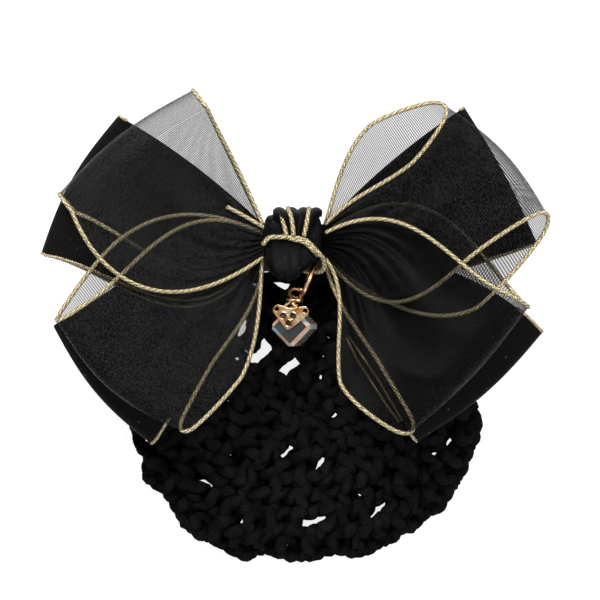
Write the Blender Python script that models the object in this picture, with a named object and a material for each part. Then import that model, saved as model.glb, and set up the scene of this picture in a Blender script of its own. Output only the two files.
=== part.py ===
"""Bun net hair clip: a bow of ribbon loops on a barrette, a small charm and a crocheted net bag.

It lies on its back. X runs across the bow, Y up the bow, and Z out of its front.
The origin is on the back of the barrette, under the knot.
"""

from math import cos, hypot, pi, radians, sin, sqrt

import bmesh
import bpy
from mathutils import Matrix, Vector

# Driving sizes, in metres
GAP = 0.0003

CLIP_LENGTH = 0.080
CLIP_WIDTH = 0.0094
CLIP_HEIGHT = 0.0080
CLIP_PLATE = 0.0014
CLIP_END = 0.0070
CLIP_EDGE = 0.0005

BOW_HALF_WIDTH = 0.0635
BOW_HALF_HEIGHT = 0.0480
SPREAD = 0.0680
RIBBON_WALL = 0.0011
LOOP_TAIL = 0.0010
LOOP_MOUTH = 0.0004
PLEAT_HEIGHT = 0.0007
PLEATS = 3

GATHER_HALF = 0.0047
GATHER_RISE = 0.0035
GATHER_SHARE = 0.80
KNOT_HALF_WIDTH = 0.0075
KNOT_SHIFT = 0.0005
KNOT_WALL = 0.0010
KNOT_FRONT_SWELL = 0.0024
KNOT_LEAN = radians(-30)
KNOT_DROOP = 0.0075
KNOT_DROOP_FROM = 0.15
KNOT_SUPER_POWER = 0.4
STRIP_WALL = 0.0010
STRIP_HALF_WIDTH = 0.0060
STRIP_SHIFT = 0.0014
STRIP_PLEATS = 3
STRIP_CREST = 0.0006
CORD_RADIUS = 0.0006

RING_RADIUS = 0.00425
RING_PLACE = 0.66
RING_LEAN = radians(58)
RING_WIRE = 0.00045
RING_TILT = 0.22
BAIL_RADIUS = 0.0018
BAIL_WIRE = 0.00045
COLLAR_RADIUS = 0.0021
COLLAR_HEIGHT = 0.0012
CAP_FLAP = 0.0056
CAP_WALL = 0.0006
CAP_HOLE = 0.00055
CUBE_SIDE = 0.0079
CUBE_CHAMFER = 0.0009
CUBE_SHIFT = 0.0003

NET_WALL = 0.0024
NET_THICKNESS = 0.0118
NET_HALF_WIDTH = 0.0450
NET_HALF_DROP = 0.0368
NET_SHIFT = 0.0028
MOUTH_HALF_WIDTH = 0.0270
MOUTH_HALF_DROP = 0.0120
MOUTH_MARGIN = 0.0080
NET_COLUMNS = 20
GAP_SHARE = 0.52

# The waist of the bow, where the knot wraps the stacked ribbons
STEP = RIBBON_WALL + 1.17 * GAP
PLIES = 8
WAIST_FLOOR = CLIP_HEIGHT + GAP + KNOT_WALL
WAIST_HEIGHT = PLIES * STEP + 3 * GAP
WAIST_TOP = WAIST_FLOOR + WAIST_HEIGHT
FIRST_PLY = WAIST_FLOOR + 2 * GAP + RIBBON_WALL / 2
HELD = hypot(KNOT_HALF_WIDTH + LOOP_MOUTH + abs(KNOT_SHIFT), GATHER_RISE + GATHER_HALF)

# Each ply's height above its place at the waist, as shares of the height of the waist.
# The first is the pull of its middle, the second its place at the fold.
PLY_RISE = [
    # middle, fold
    (0.50, 0.52),
    (0.62, 0.64),
    (0.78, 0.52),
    (0.90, 0.60),
    (1.02, 0.62),
    (1.15, 0.68),
    (1.75, 0.99),
    (2.15, 0.90),
]

# Ribbon loops. Plies count up from the barrette, the rear one first. On each side one organza loop
# lies inside the other near the knot. Corners are shares of the bow's half width and half height,
# holds are shares of the gathered half height, and bulges are shares of an edge's length at a third
# and two thirds of it.
LOOPS = [
    dict(name="back_loop_lower_left", side=-1, plies=(0, 1), organza=False,
         upper=(-0.941, -0.385), lower=(-0.555, -1.0), hold=(0.55, -0.9), fold_bow=0.065,
         front=((0.06, 0.04), (0.03, 0.02)), rear=((0.08, 0.05), (0.05, 0.03))),
    dict(name="back_loop_upper_left", side=-1, plies=(2, 3), organza=False,
         upper=(-0.681, 0.708), lower=(-0.984, -0.005), hold=(0.92, -0.8), fold_bow=0.01,
         front=((0.02, 0.02), (0.17, 0.13)), rear=((0.03, 0.03), (0.19, 0.15))),
    dict(name="organza_loop_lower_left", side=-1, plies=(5, 6), organza=True,
         upper=(-0.917, -0.354), lower=(-0.437, -0.911), hold=(0.33, -0.95), fold_bow=0.10,
         front=((0.167, 0.068), (0.085, 0.145)), rear=((0.228, 0.203), (-0.022, -0.048))),
    dict(name="organza_loop_upper_left", side=-1, plies=(4, 7), organza=True,
         upper=(-0.386, 0.833), lower=(-0.906, 0.297), hold=(0.92, -0.95), fold_bow=0.055,
         front=((0.02, 0.02), (0.226, 0.224)), rear=((-0.02, -0.02), (0.155, 0.10))),
    dict(name="back_loop_lower_right", side=1, plies=(0, 1), organza=False,
         upper=(0.988, -0.417), lower=(0.492, -0.99), hold=(0.5, -0.9), fold_bow=0.05,
         front=((0.05, 0.07), (0.03, 0.03)), rear=((0.06, 0.05), (0.05, 0.04))),
    dict(name="back_loop_upper_right", side=1, plies=(2, 3), organza=False,
         upper=(0.677, 0.75), lower=(0.961, 0.047), hold=(0.92, -0.8), fold_bow=0.025,
         front=((0.02, 0.02), (0.11, 0.09)), rear=((0.03, 0.03), (0.13, 0.10))),
    dict(name="organza_loop_upper_right", side=1, plies=(5, 6), organza=True,
         upper=(0.606, 0.719), lower=(1.004, 0.193), hold=(0.92, -0.9), fold_bow=0.12,
         front=((-0.043, -0.11), (0.195, 0.06)), rear=((0.133, 0.175), (0.26, 0.26))),
    dict(name="organza_loop_lower_right", side=1, plies=(4, 7), organza=True,
         upper=(0.921, -0.286), lower=(0.465, -0.906), hold=(0.35, -0.9), fold_bow=0.04,
         front=((0.162, 0.07), (0.08, 0.215)), rear=((0.263, 0.19), (-0.008, -0.03))),
]

# Bends of the hook at the end of the cord, from the upper end of the jump ring and in cord radii
HOOK_ROUTE = [
    # across, up, share of the drop still to go
    (4.0, -0.8, 0.62),
    (3.0, -2.6, 0.25),
]
HOOK_TIP = (-2.6, 0.2)
HOOK_END = (-4.0, 0.5)

# Holes in the cap's front, as shares of the length of its flaps
CAP_HOLES = [
    # across, down from the peak
    (0.0, 0.30),
    (-0.28, 0.62),
    (0.28, 0.62),
    (0.0, 0.66),
    (0.0, 0.98),
]

# The net's outline, as shares of its half width or half drop, every 30 degrees from the right
NET_REACH = [1.01, 0.98, 0.96, 1.0, 0.97, 0.97, 0.99, 0.98, 1.03, 0.95, 0.98, 0.97]

# Rings of the net, from the middle of its front, round the rim to the mouth at its back.
# "in" is the share of the way in from the rim, "height" the share of the thickness there.
NET_RINGS = [
    # in, height, gaps up to the next ring
    (0.80, 1.00, True),
    (0.50, 0.97, True),
    (0.22, 0.86, True),
    (0.05, 0.70, False),
    (0.00, 0.48, False),
    (0.05, 0.24, True),
    (0.30, 0.03, True),
    (0.60, 0.00, True),
    (0.92, 0.00, False),
    (1.00, 0.00, False),
]
FRONT_RINGS = 5

# The cord over the knot, as shares of the knot's half width and the gathered half height
CORD_ROUTE = [
    # across, up
    (-0.93, -0.37),
    (-0.78, 0.0),
    (-0.46, 0.04),
    (-0.10, 0.02),
    (0.33, -0.10),
    (0.53, -0.37),
    (0.70, -0.69),
    (0.84, -0.95),
]


def clear_scene():
    for item in list(bpy.data.objects):
        bpy.data.objects.remove(item, do_unlink=True)


def material(name, colour, roughness, metallic=0.0):
    finish = bpy.data.materials.new(name)
    finish.use_nodes = True
    shader = finish.node_tree.nodes["Principled BSDF"]
    shader.inputs["Base Color"].default_value = (*colour, 1.0)
    shader.inputs["Roughness"].default_value = roughness
    shader.inputs["Metallic"].default_value = metallic
    return finish


def solid(name, shape, finish, smooth_below=40):
    """Makes an object from a bmesh, with its faces pointing out."""
    bmesh.ops.recalc_face_normals(shape, faces=shape.faces)
    mesh = bpy.data.meshes.new(name)
    shape.to_mesh(mesh)
    shape.free()
    mesh.shade_smooth()
    mesh.set_sharp_from_angle(angle=radians(smooth_below))
    mesh.materials.append(finish)
    piece = bpy.data.objects.new(name, mesh)
    bpy.context.collection.objects.link(piece)
    return piece


def grid_faces(shape, rows, around):
    """Joins rows of points with quads. A row closes on itself when around is true."""
    for row, following in zip(rows, rows[1:]):
        count = len(row) if around else len(row) - 1
        for k in range(count):
            n = (k + 1) % len(row)
            shape.faces.new((row[k], row[n], following[n], following[k]))


def sleeve(name, rings, finish):
    """A solid from rings of points, joined round and capped at both ends."""
    shape = bmesh.new()
    rows = [[shape.verts.new(point) for point in ring] for ring in rings]
    grid_faces(shape, rows, True)
    shape.faces.new(rows[0])
    shape.faces.new(rows[-1])
    return solid(name, shape, finish)


def smooth_route(points, steps):
    """A Catmull-Rom curve through the points."""
    padded = [points[0]] + points + [points[-1]]
    route = []
    for a, b, c, d in zip(padded, padded[1:], padded[2:], padded[3:]):
        for k in range(steps):
            u = k / steps
            route.append(0.5 * (2 * b + (c - a) * u + (2 * a - 5 * b + 4 * c - d) * u * u
                                + (3 * b - a - 3 * c + d) * u ** 3))
    route.append(points[-1])
    return route


def tube_rings(route, radius, sides):
    """Rings of points square to a route, turned as little as possible from one to the next."""
    rings = []
    side = None
    for k, point in enumerate(route):
        ahead = (route[min(k + 1, len(route) - 1)] - route[max(k - 1, 0)]).normalized()
        if side is None:
            side = ahead.orthogonal().normalized()
        side = (side - ahead * side.dot(ahead)).normalized()
        other = ahead.cross(side)
        rings.append([point + radius * (cos(2 * pi * s / sides) * side + sin(2 * pi * s / sides) * other)
                      for s in range(sides)])
    return rings


def add_round_ring(shape, centre, along, across, radius, wire, turns, sides):
    """Adds a torus whose plane holds along and across."""
    normal = along.cross(across).normalized()
    rows = []
    for k in range(turns):
        angle = 2 * pi * k / turns
        out = cos(angle) * along + sin(angle) * across
        rows.append([shape.verts.new(centre + out * (radius + wire * cos(2 * pi * s / sides))
                                     + normal * wire * sin(2 * pi * s / sides)) for s in range(sides)])
    grid_faces(shape, rows + rows[:1], True)


def make_barrette(finish):
    """A flat oblong ring seen from its long side: back bar, front plate and the ends that join them."""
    half = CLIP_LENGTH / 2
    outer = [(-half, 0.0), (half, 0.0), (half, CLIP_HEIGHT), (-half, CLIP_HEIGHT)]
    slot = half - CLIP_END
    inner = [(-slot, CLIP_PLATE), (slot, CLIP_PLATE), (slot, CLIP_HEIGHT - CLIP_PLATE),
             (-slot, CLIP_HEIGHT - CLIP_PLATE)]
    shape = bmesh.new()
    rows = []
    for outline in (outer, inner):
        for y in (-CLIP_WIDTH / 2, CLIP_WIDTH / 2):
            rows.append([shape.verts.new((x, y, z)) for x, z in outline])
    grid_faces(shape, [rows[0], rows[1], rows[3], rows[2], rows[0]], True)
    piece = solid("barrette_clip", shape, finish)
    bevel = piece.modifiers.new("worn_edges", "BEVEL")
    bevel.width = CLIP_EDGE
    bevel.segments = 1
    return piece


def ply_height(ply, distance):
    """The height of a ply at a distance from the knot. Plies keep their order at every distance."""
    v = min(max(0.0, distance - HELD) / (SPREAD - HELD), 1.0)
    start = FIRST_PLY + ply * STEP
    middle = start + PLY_RISE[ply][0] * WAIST_HEIGHT
    fold = start + PLY_RISE[ply][1] * WAIST_HEIGHT
    return start + 3 * v * v * (1 - v) * (middle - start) + v ** 3 * (fold - start)


def pleat_lift(distance, u, t):
    """Soft pleats that run out from the knot and fade towards the fold, within the room between plies."""
    room = ply_height(PLIES - 1, distance) - ply_height(PLIES - 2, distance) - STEP
    height = min(PLEAT_HEIGHT, max(0.0, room) * 0.4)
    return height * sin(PLEATS * 2 * pi * t) * max(0.0, sin(pi * min(u * 1.2, 1.0)))


def bulged(start, end, bulge, outward, u):
    """A point on an edge whose bulges at a third and two thirds of it are shares of its length."""
    third, two_thirds = bulge
    near = 3 * third - 1.5 * two_thirds
    far = 3 * two_thirds - 1.5 * third
    offset = 3 * (1 - u) ** 2 * u * near + 3 * (1 - u) * u * u * far
    chord = end - start
    across = Vector((-chord.y, chord.x)).normalized()
    if across.dot(outward) < 0:
        across = -across
    return start + chord * u + across * (offset * chord.length)


def loop_rings(loop, stations, parts):
    """Sections of a ribbon loop along its path: out in front, round the fold and back behind."""
    side = loop["side"]
    corners = [Vector((x * BOW_HALF_WIDTH, y * BOW_HALF_HEIGHT)) for x, y in (loop["upper"], loop["lower"])]
    mouth = KNOT_SHIFT + side * (KNOT_HALF_WIDTH + LOOP_MOUTH)
    starts = [Vector((mouth, GATHER_RISE + hold * GATHER_HALF * GATHER_SHARE)) for hold in loop["hold"]]
    spread = corners[0] - corners[1]
    outward = [spread, -spread]
    away = Vector((-spread.y, spread.x)).normalized()
    if away.dot(corners[0] + corners[1]) < 0:
        away = -away
    rings = []

    def place(edges, u, t):
        flat = [bulged(starts[e], corners[e], edges[e], outward[e], u) for e in (0, 1)]
        return flat[0].lerp(flat[1], t) + away * (loop["fold_bow"] * spread.length * sin(pi * t) * u ** 3)

    def heights(flat):
        return [ply_height(ply, flat.length) for ply in loop["plies"]]

    def section(middle, normal):
        top = [p + n * (RIBBON_WALL / 2) for p, n in zip(middle, normal)]
        bottom = [p - n * (RIBBON_WALL / 2) for p, n in zip(middle, normal)]
        return top + bottom[::-1]

    shares = [k / parts for k in range(parts + 1)]
    up = [Vector((0, 0, 1))] * (parts + 1)
    down = [Vector((0, 0, -1))] * (parts + 1)

    def ply(front, u):
        edges = loop["front"] if front else loop["rear"]
        middle = []
        for t in shares:
            flat = place(edges, u, t)
            low, high = heights(flat)
            radius = (high - low) / 2
            flat = flat - away * (radius * u ** 4)
            lift = pleat_lift(flat.length, u, t) if loop["organza"] and front else 0.0
            middle.append(Vector((*flat, (high if front else low) + lift)))
        return section(middle, up if front else down)

    def tail(front):
        height = ply_height(loop["plies"][1 if front else 0], LOOP_TAIL)
        x = side * LOOP_TAIL
        middle = [Vector((x, starts[0].y + (starts[1].y - starts[0].y) * t, height)) for t in shares]
        return section(middle, up if front else down)

    rings.append(tail(True))
    rings += [ply(True, k / stations) for k in range(stations + 1)]
    for degrees in (45, 0, -45):
        middle, normal = [], []
        for t in shares:
            flat = place(loop["front"], 1.0, t)
            low, high = heights(flat)
            radius = (high - low) / 2
            turn = radians(degrees)
            out = away * (radius * (cos(turn) - 1))
            middle.append(Vector((*(flat + out), (low + high) / 2 + radius * sin(turn))))
            normal.append(Vector((*(away * cos(turn)), sin(turn))))
        rings.append(section(middle, normal))
    rings += [ply(False, 1 - k / stations) for k in range(stations + 1)]
    rings.append(tail(False))
    return rings


def waist_point(angle, swell):
    """A point in the plane across the waist. The angle runs from the front towards the top of the bow."""
    half_y = GATHER_HALF + GAP + swell
    half_z = WAIST_HEIGHT / 2 + swell
    middle_z = (WAIST_FLOOR + WAIST_TOP) / 2
    s, c = sin(angle), cos(angle)
    y = GATHER_RISE + half_y * (abs(s) ** KNOT_SUPER_POWER) * (1 if s >= 0 else -1)
    z = middle_z + half_z * (abs(c) ** KNOT_SUPER_POWER) * (1 if c >= 0 else -1)
    return y, z


def knot_swell(angle, across):
    """How thick the knot is at an angle round the waist and a share across its width."""
    front = max(0.0, cos(angle - KNOT_LEAN)) ** 2
    dome = sqrt(max(0.0, 1 - across * across))
    leftward = max(0.0, KNOT_DROOP_FROM - across)
    droop = KNOT_DROOP * max(0.0, -sin(angle)) ** 2 * leftward * max(0.0, cos(angle) + 0.5)
    return KNOT_WALL * (0.75 + 0.25 * dome) + (KNOT_FRONT_SWELL * front + droop) * dome


def knot_skin(x, y):
    """The height of the knot's front above a point."""
    across = (x - KNOT_SHIFT) / KNOT_HALF_WIDTH
    low, high = radians(-89), radians(89)
    for _ in range(40):
        angle = (low + high) / 2
        found, height = waist_point(angle, knot_swell(angle, across))
        if found < y:
            low = angle
        else:
            high = angle
    return height


def knot_low():
    """How low the knot's lower side reaches at its right half, where the hook leaves it."""
    angles = [radians(-5 * k) for k in range(1, 36)]
    return min(waist_point(a, knot_swell(a, across))[0] for a in angles for across in (0.2, 0.4, 0.6))


def above_knot(x, y, lift):
    """A point at a distance from the knot's front, measured square to it."""
    step = CORD_RADIUS
    height = knot_skin(x, y)
    slope_x = (knot_skin(x + step, y) - knot_skin(x - step, y)) / (2 * step)
    slope_y = (knot_skin(x, y + step) - knot_skin(x, y - step)) / (2 * step)
    return Vector((x, y, height)) + Vector((-slope_x, -slope_y, 1)).normalized() * lift


def make_knot(finish):
    turns = 24
    angles = [2 * pi * k / turns for k in range(turns)]
    shape = bmesh.new()

    def ring(across, swelling):
        x = KNOT_SHIFT + across * KNOT_HALF_WIDTH
        swells = [knot_swell(a, across) if swelling else 0.0 for a in angles]
        return [shape.verts.new((x, *waist_point(a, swell))) for a, swell in zip(angles, swells)]

    left = ring(-1.0, False)
    outer = [ring(across, True) for across in (-1.0, -0.8, -0.45, 0.0, 0.45, 0.8, 1.0)]
    right = ring(1.0, False)
    grid_faces(shape, [left] + outer + [right, left], True)
    return solid("knot", shape, finish, 60)


def make_knot_pleats(finish):
    """The gathered end of the wrap: it leaves the middle of the knot's front and goes over its upper side."""
    parts = 12
    rings = []
    for degrees in (12, 25, 38, 55, 72, 90, 110, 128):
        angle = radians(degrees)
        low_row, high_row = [], []
        for k in range(parts + 1):
            t = k / parts
            x = STRIP_SHIFT + STRIP_HALF_WIDTH * (2 * t - 1)
            across = (x - KNOT_SHIFT) / KNOT_HALF_WIDTH
            base = knot_swell(angle, across) + 2 * GAP
            crest = STRIP_CREST * (0.5 + 0.5 * cos(STRIP_PLEATS * 2 * pi * t))
            low_row.append(Vector((x, *waist_point(angle, base))))
            high_row.append(Vector((x, *waist_point(angle, base + STRIP_WALL + crest))))
        rings.append(low_row + high_row[::-1])
    return sleeve("knot_pleats", rings, finish)


def ring_top():
    """The upper end of the jump ring, just below the knot at its right."""
    x = KNOT_SHIFT + RING_PLACE * KNOT_HALF_WIDTH
    return Vector((x, knot_low() - GAP - 1.2 * RING_WIRE))


def ring_along():
    return Vector((cos(RING_LEAN), sin(RING_LEAN)))


def bail_place():
    """The lower end of the jump ring passes through the middle of the bail."""
    return ring_top() - ring_along() * 2 * RING_RADIUS


def cord_points():
    """The cord over the knot, then its hook, which leaves the knot's lower right and goes through the ring."""
    lift = 2 * GAP + CORD_RADIUS
    points = []
    for across, rise in CORD_ROUTE:
        x = KNOT_SHIFT + across * KNOT_HALF_WIDTH
        y = GATHER_RISE + rise * GATHER_HALF
        points.append(above_knot(x, y, lift))
    level = bail_centre().z + 0.3 * CORD_RADIUS
    drop = points[-1].z - level
    top = ring_top()
    through = top - ring_along() * (CORD_RADIUS + RING_WIRE + 2 * GAP)
    for across, up, share in HOOK_ROUTE:
        points.append(Vector((top.x + across * CORD_RADIUS, top.y + up * CORD_RADIUS, level + share * drop)))
    points.append(Vector((*through, level)))
    tip = through + CORD_RADIUS * Vector(HOOK_TIP)
    end = Vector((through.x, top.y)) + CORD_RADIUS * Vector(HOOK_END)
    points.append(Vector((*tip, level)))
    points.append(Vector((*end, level)))
    return points


def net_top(x, y):
    """The height of the net's front under the charm, from its rings."""
    centre_y = net_centre().y
    reach = min(0.999, hypot((x - NET_SHIFT) / NET_HALF_WIDTH, (y - centre_y) / NET_HALF_DROP))
    inward = 1 - reach
    rows = [(share, height) for share, height, _ in NET_RINGS[:FRONT_RINGS]]
    for (far, high), (near, low) in zip(rows, rows[1:]):
        if near <= inward <= far:
            share = (inward - near) / (far - near)
            return (low + (high - low) * share) * NET_THICKNESS
    return NET_THICKNESS


def cube_centre():
    half = CUBE_SIDE / 2
    place = bail_place()
    y = place.y - BAIL_RADIUS - COLLAR_HEIGHT - sqrt(2) * half
    ground = max(net_top(place.x, y + step * half) for step in (-1.4, -0.7, 0.0, 0.7, 1.4))
    return Vector((place.x - CUBE_SHIFT, y, ground + GAP + half))


def bail_centre():
    return Vector((*bail_place(), cube_centre().z + RING_WIRE))


def make_jump_ring(finish):
    """The ring stands on edge. The hook passes through its upper end and the bail round its lower end."""
    along = Vector((*ring_along(), 0))
    sideways = Vector((along.y, -along.x, 0))
    across = (Vector((0, 0, 1)) + RING_TILT * sideways).normalized()
    centre = bail_centre() + along * RING_RADIUS
    shape = bmesh.new()
    add_round_ring(shape, centre, along, across, RING_RADIUS, RING_WIRE, 16, 6)
    return solid("jump_ring", shape, finish, 80)


def add_cylinder(shape, start, end, radius, sides):
    axis = end - start
    turn = axis.to_track_quat("Z", "Y").to_matrix().to_4x4()
    place = Matrix.Translation((start + end) / 2) @ turn
    bmesh.ops.create_cone(shape, cap_ends=True, segments=sides, radius1=radius, radius2=radius,
                          depth=axis.length, matrix=place)


def helper(name, shape):
    piece = solid(name, shape, None)
    piece.hide_render = True
    piece.display_type = "WIRE"
    return piece


def boolean(piece, other, operation):
    step = piece.modifiers.new(other.name, "BOOLEAN")
    step.operation = operation
    step.object = other


def make_charm_cap(finish):
    """A three-cornered cap with pierced flaps over the top corner of the crystal, its collar and its bail."""
    cube = cube_centre()
    half = CUBE_SIDE / 2 + GAP
    peak = cube.y + sqrt(2) * half
    front = cube.z + half
    reach = CAP_FLAP / sqrt(2)
    brim = CAP_WALL * 0.8
    shape = bmesh.new()
    flap = [(0.0, brim), (-reach - brim, -reach), (0.0, -1.75 * reach), (reach + brim, -reach)]
    rows = [[shape.verts.new((cube.x + x, peak + y, z)) for x, y in flap] for z in (front, front + CAP_WALL)]
    grid_faces(shape, rows, True)
    shape.faces.new(rows[0])
    shape.faces.new(rows[1])
    cap = solid("charm_cap", shape, finish, 30)
    parts = []
    for side in (-1, 1):
        wall = bmesh.new()
        down = Vector((side, -1, 0)).normalized()
        out = Vector((side, 1, 0)).normalized() * CAP_WALL
        start = Vector((cube.x, peak, 0)) - down * CAP_WALL * 1.4
        end = start + down * (CAP_FLAP + CAP_WALL)
        rows = [[wall.verts.new(p + Vector((0, 0, z))) for p in (start, end, end + out, start + out)]
                for z in (cube.z - half * 0.5, front + CAP_WALL / 2)]
        grid_faces(wall, rows, True)
        wall.faces.new(rows[0])
        wall.faces.new(rows[1])
        parts.append((f"cap_side_{side + 1}", wall, "UNION"))
    neck = bmesh.new()
    bail = bail_centre()
    low = Vector((bail.x, peak + CAP_WALL * 0.5, bail.z))
    high = Vector((bail.x, bail.y - BAIL_RADIUS, bail.z))
    add_cylinder(neck, low, high, COLLAR_RADIUS, 12)
    parts.append(("cap_collar", neck, "UNION"))
    loop = bmesh.new()
    add_round_ring(loop, bail, Vector((1, 0, 0)), Vector((0, 1, 0)), BAIL_RADIUS, BAIL_WIRE, 14, 6)
    parts.append(("cap_bail", loop, "UNION"))
    for k, (across, down) in enumerate(CAP_HOLES):
        hole = bmesh.new()
        spot = Vector((cube.x + across * CAP_FLAP, peak - down * CAP_FLAP, 0))
        below = spot + Vector((0, 0, front - CAP_WALL))
        above = spot + Vector((0, 0, front + 2 * CAP_WALL))
        add_cylinder(hole, below, above, CAP_HOLE, 8)
        parts.append((f"cap_hole_{k}", hole, "DIFFERENCE"))
    for name, form, operation in parts:
        boolean(cap, helper(name, form), operation)
    return cap


def make_crystal(finish):
    shape = bmesh.new()
    turn = Matrix.Translation(cube_centre()) @ Matrix.Rotation(radians(45), 4, "Z")
    bmesh.ops.create_cube(shape, size=CUBE_SIDE, matrix=turn)
    piece = solid("charm_crystal", shape, finish, 10)
    bevel = piece.modifiers.new("cut_edges", "BEVEL")
    bevel.width = CUBE_CHAMFER
    bevel.segments = 1
    return piece


def net_centre():
    """The middle of the net. Its upper rim lies just below the barrette."""
    top = -CLIP_WIDTH / 2 - 1.67 * GAP
    return Vector((NET_SHIFT, top - NET_HALF_DROP * 1.01))


def net_reach(angle):
    """The outline's share of the half width and half drop at an angle."""
    place = (angle / (pi / 6)) % 12
    first = int(place)
    share = (1 - cos(pi * (place - first))) / 2
    return NET_REACH[first % 12] * (1 - share) + NET_REACH[(first + 1) % 12] * share


def net_outer(column, ring, u=0.0, v=0.0):
    """A point on the outer skin, between one column and ring and the next ones."""
    def corner(c, r):
        inward, height, _ = NET_RINGS[r]
        angle = 2 * pi * (c + 0.5) / NET_COLUMNS
        middle = net_centre()
        rim = Vector((cos(angle) * NET_HALF_WIDTH, sin(angle) * NET_HALF_DROP)) * net_reach(angle) + middle
        if r < FRONT_RINGS:
            inner = middle
        else:
            mouth = Vector((NET_SHIFT, -CLIP_WIDTH / 2 - MOUTH_MARGIN - MOUTH_HALF_DROP))
            inner = mouth + Vector((cos(angle) * MOUTH_HALF_WIDTH, sin(angle) * MOUTH_HALF_DROP))
        flat = rim.lerp(inner, inward)
        return Vector((*flat, height * NET_THICKNESS))
    near = corner(column, ring).lerp(corner(column + 1, ring), u)
    far = corner(column, ring + 1).lerp(corner(column + 1, ring + 1), u)
    return near.lerp(far, v)


def make_net(finish):
    """A flat bag, open at its back. Each mesh gap is a four-cornered hole through the wall."""
    outer = bmesh.new()
    last = len(NET_RINGS) - 1

    def put(point):
        return outer.verts.new(point)

    nodes = []
    for r in range(last + 1):
        row = []
        for c in range(NET_COLUMNS):
            point = net_outer(c, r) if r < last else net_outer(c, last - 1, 0.0, 1.0)
            row.append(put(point))
        nodes.append(row)
    crown = put(Vector((*net_centre(), NET_RINGS[0][1] * NET_THICKNESS)))
    for c in range(NET_COLUMNS):
        n = (c + 1) % NET_COLUMNS
        outer.faces.new((crown, nodes[0][c], nodes[0][n]))
    for r in range(last):
        for c in range(NET_COLUMNS):
            n = (c + 1) % NET_COLUMNS
            frame = [nodes[r][c], nodes[r][n], nodes[r + 1][n], nodes[r + 1][c]]
            if not NET_RINGS[r][2]:
                outer.faces.new(frame)
                continue
            low, high = 0.5 - GAP_SHARE / 2, 0.5 + GAP_SHARE / 2
            shares = ((low, low), (high, low), (high, high), (low, high))
            hole = [put(net_outer(c, r, u, v)) for u, v in shares]
            for k in range(4):
                m = (k + 1) % 4
                outer.faces.new((frame[k], frame[m], hole[m], hole[k]))
    bmesh.ops.recalc_face_normals(outer, faces=outer.faces)
    mesh = bpy.data.meshes.new("net_bag")
    outer.to_mesh(mesh)
    outer.free()
    mesh.materials.append(finish)
    piece = bpy.data.objects.new("net_bag", mesh)
    bpy.context.collection.objects.link(piece)
    wall = piece.modifiers.new("cord_thickness", "SOLIDIFY")
    wall.thickness = NET_WALL
    wall.offset = -1
    wall.use_rim = True
    return piece


def main():
    clear_scene()
    steel = material("brushed_steel", (0.55, 0.55, 0.56), 0.35, 1.0)
    ribbed = material("black_ribbed_ribbon", (0.012, 0.012, 0.014), 0.6)
    sheer = material("black_organza", (0.03, 0.03, 0.035), 0.45)
    gold_thread = material("gold_thread", (0.75, 0.58, 0.30), 0.4, 0.8)
    gold = material("polished_gold", (0.85, 0.62, 0.36), 0.2, 1.0)
    crystal = material("clear_crystal", (0.80, 0.84, 0.90), 0.03)
    yarn = material("matte_black_yarn", (0.015, 0.015, 0.016), 0.9)

    make_barrette(steel)
    for loop in LOOPS:
        stations, parts = (10, 8) if loop["organza"] else (9, 6)
        sleeve(loop["name"], loop_rings(loop, stations, parts), sheer if loop["organza"] else ribbed)
    make_knot(sheer)
    make_knot_pleats(sheer)
    cord = smooth_route(cord_points(), 3)
    sleeve("knot_cord", tube_rings(cord, CORD_RADIUS, 8), gold_thread)
    make_jump_ring(gold)
    make_charm_cap(gold)
    make_crystal(crystal)
    make_net(yarn)


main()
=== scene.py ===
# %% [markdown]
# # A bun net hair clip
# This lesson dresses a plain model of a hair clip that holds a bun: a bow of ribbon on a metal
# barrette, a small charm hanging from its knot, and a bag crocheted from thick black cord.
# The plain model gives each piece its size and place. Here every soft piece is made again with its
# gathers, threads and stitches, and every surface gets a material built from nodes.

# %% Open the frame
from math import asin, atan2, cos, hypot, pi, radians, sin, sqrt

import bmesh
import bpy
from mathutils import Matrix, Vector


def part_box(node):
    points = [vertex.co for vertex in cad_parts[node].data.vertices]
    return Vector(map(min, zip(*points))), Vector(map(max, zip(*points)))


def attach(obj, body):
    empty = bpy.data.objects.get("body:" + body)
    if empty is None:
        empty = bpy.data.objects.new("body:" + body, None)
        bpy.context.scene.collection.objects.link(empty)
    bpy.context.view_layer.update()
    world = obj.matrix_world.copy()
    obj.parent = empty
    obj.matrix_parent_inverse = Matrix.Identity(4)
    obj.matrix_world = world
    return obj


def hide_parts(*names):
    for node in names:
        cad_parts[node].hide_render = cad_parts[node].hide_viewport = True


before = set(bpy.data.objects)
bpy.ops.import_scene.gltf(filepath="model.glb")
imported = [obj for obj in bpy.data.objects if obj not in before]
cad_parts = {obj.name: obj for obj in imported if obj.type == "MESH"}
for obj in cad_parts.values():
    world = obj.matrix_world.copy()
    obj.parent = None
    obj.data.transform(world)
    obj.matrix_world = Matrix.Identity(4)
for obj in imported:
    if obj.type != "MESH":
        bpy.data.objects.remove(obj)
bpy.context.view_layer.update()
MM = 0.001

# %% [markdown]
# ## Small tools for node trees
# A node tree is easier to read when its arithmetic is written as one call a step. These helpers add
# a node, join what it is given, and hand back its output socket. They serve materials and Geometry
# Nodes alike.


# %% Node helpers
def feed(tree, socket, value):
    """Joins a socket to another, or gives it a plain value."""
    if isinstance(value, bpy.types.NodeSocket):
        tree.links.new(value, socket)
    else:
        socket.default_value = value


def add_node(tree, kind, settings=None, **values):
    """Adds a node with its settings, and feeds inputs by their labels."""
    node = tree.nodes.new(kind)
    for name, value in (settings or {}).items():
        setattr(node, name, value)
    for label, value in values.items():
        feed(tree, node.inputs[label.replace("_", " ")], value)
    return node


def do_math(tree, operation, *numbers):
    """One step of arithmetic on numbers."""
    node = add_node(tree, "ShaderNodeMath", {"operation": operation})
    for socket, number in zip(node.inputs, numbers):
        feed(tree, socket, number)
    return node.outputs[0]


def times(tree, one, other):
    return do_math(tree, "MULTIPLY", one, other)


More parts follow.
